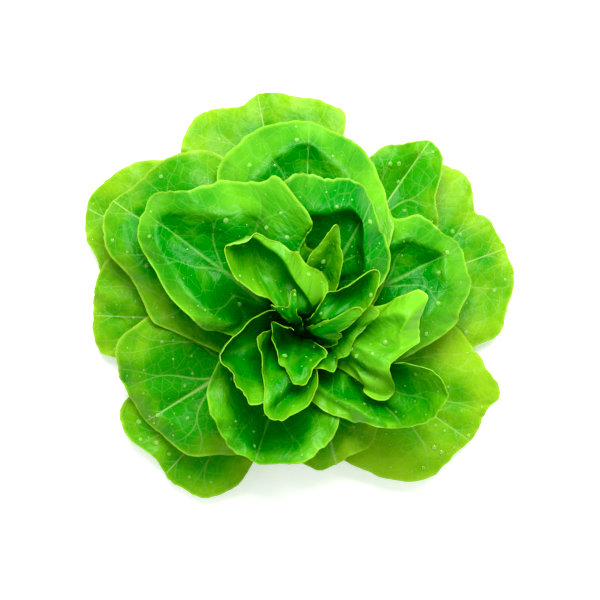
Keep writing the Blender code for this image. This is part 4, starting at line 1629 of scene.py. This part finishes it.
@dataclass(frozen=True)
class Studio:
    """A pale floor, soft light from all around and from the head's far side, and the camera.

    The camera looks straight down. pixel_per_mm and centre give the picture's scale on the floor
    and where the head's axis is in it, in pixels from the left and from the top. gamma and
    black_level give the view the deep, strong colours of the photograph. Other lengths in metres.
    """
    picture: float = 600.0
    pixel_per_mm: float = 1.593
    centre: tuple = (302.0, 322.0)
    distance: float = 1.0
    film: float = 36.0
    floor_half: float = 2.0
    sky: float = 0.9
    key: float = 27.0
    key_size: float = 0.7
    key_place: tuple = (0.1, 0.65, 1.05)
    gamma: float = 0.88
    black_level: tuple = (0.03, 0.0, 0.018)

    def build(self, finish: PaperFinish) -> None:
        """Makes the view, the floor, the lights and the camera.

        Args:
            finish: the floor's finish.
        """
        self.develop()
        self.lay_floor(finish)
        self.light()
        self.aim()

    def develop(self) -> None:
        """Sets how the view turns light to colours."""
        view = bpy.context.scene.view_settings
        view.view_transform = "Standard"
        view.gamma = self.gamma
        view.use_curve_mapping = True
        view.curve_mapping.black_level = self.black_level
        view.curve_mapping.update()

    def lay_floor(self, finish: PaperFinish) -> None:
        """Lays a square of paper under the head.

        Args:
            finish: its finish.
        """
        half = self.floor_half
        corners = [(-half, -half, 0), (half, -half, 0), (half, half, 0), (-half, half, 0)]
        mesh = bpy.data.meshes.new("floor")
        mesh.from_pydata(corners, [], [(0, 1, 2, 3)])
        mesh.materials.append(finish.make())
        floor = bpy.data.objects.new("floor", mesh)
        bpy.context.scene.collection.objects.link(floor)
        floor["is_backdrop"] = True

    def light(self) -> None:
        """Lights the head from all around, and more from its far side."""
        world = bpy.data.worlds.new("soft_light")
        world.use_nodes = True
        world.node_tree.nodes["Background"].inputs["Color"].default_value = (1, 1, 1, 1)
        world.node_tree.nodes["Background"].inputs["Strength"].default_value = self.sky
        bpy.context.scene.world = world
        lamp = bpy.data.lights.new("key", "AREA")
        lamp.energy, lamp.size = self.key, self.key_size
        light = bpy.data.objects.new("key", lamp)
        light.location = self.key_place
        light.rotation_euler = (-light.location).to_track_quat("-Z", "Y").to_euler()
        bpy.context.scene.collection.objects.link(light)

    def aim(self) -> None:
        """Hangs the camera above the head, so that its axis comes where the photograph has it."""
        metres = MM / self.pixel_per_mm
        across, down = self.centre
        lens = bpy.data.cameras.new("camera")
        lens.sensor_width = self.film
        lens.lens = self.film * self.distance / (self.picture * metres)
        camera = bpy.data.objects.new("camera", lens)
        camera.location = ((self.picture / 2 - across) * metres, (down - self.picture / 2) * metres,
                           self.distance)
        bpy.context.scene.collection.objects.link(camera)
        bpy.context.scene.camera = camera


def main() -> None:
    """Builds the leaves, the stem, the dew and the studio."""
    logging.basicConfig(level=logging.INFO, format="%(message)s")
    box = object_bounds()
    habit, form = Habit(), BladeForm()
    materials = {group: finish.make() for group, finish in LEAF_FINISHES.items()}
    leaves = []
    for grown in Rosette(LEAVES, habit, form).grow():
        leaves.append(LeafPiece(grown).build(materials[grown.leaf.group], box))
    stem = Stem(habit).build(StemFinish(), box)
    dew = Dew().build(leaves, WaterFinish())
    for piece in (*leaves, stem, dew):
        log.info("%s: %d faces", piece.name, len(piece.data.polygons))
    Studio().build(PaperFinish())


if __name__ == "__main__":
    main()
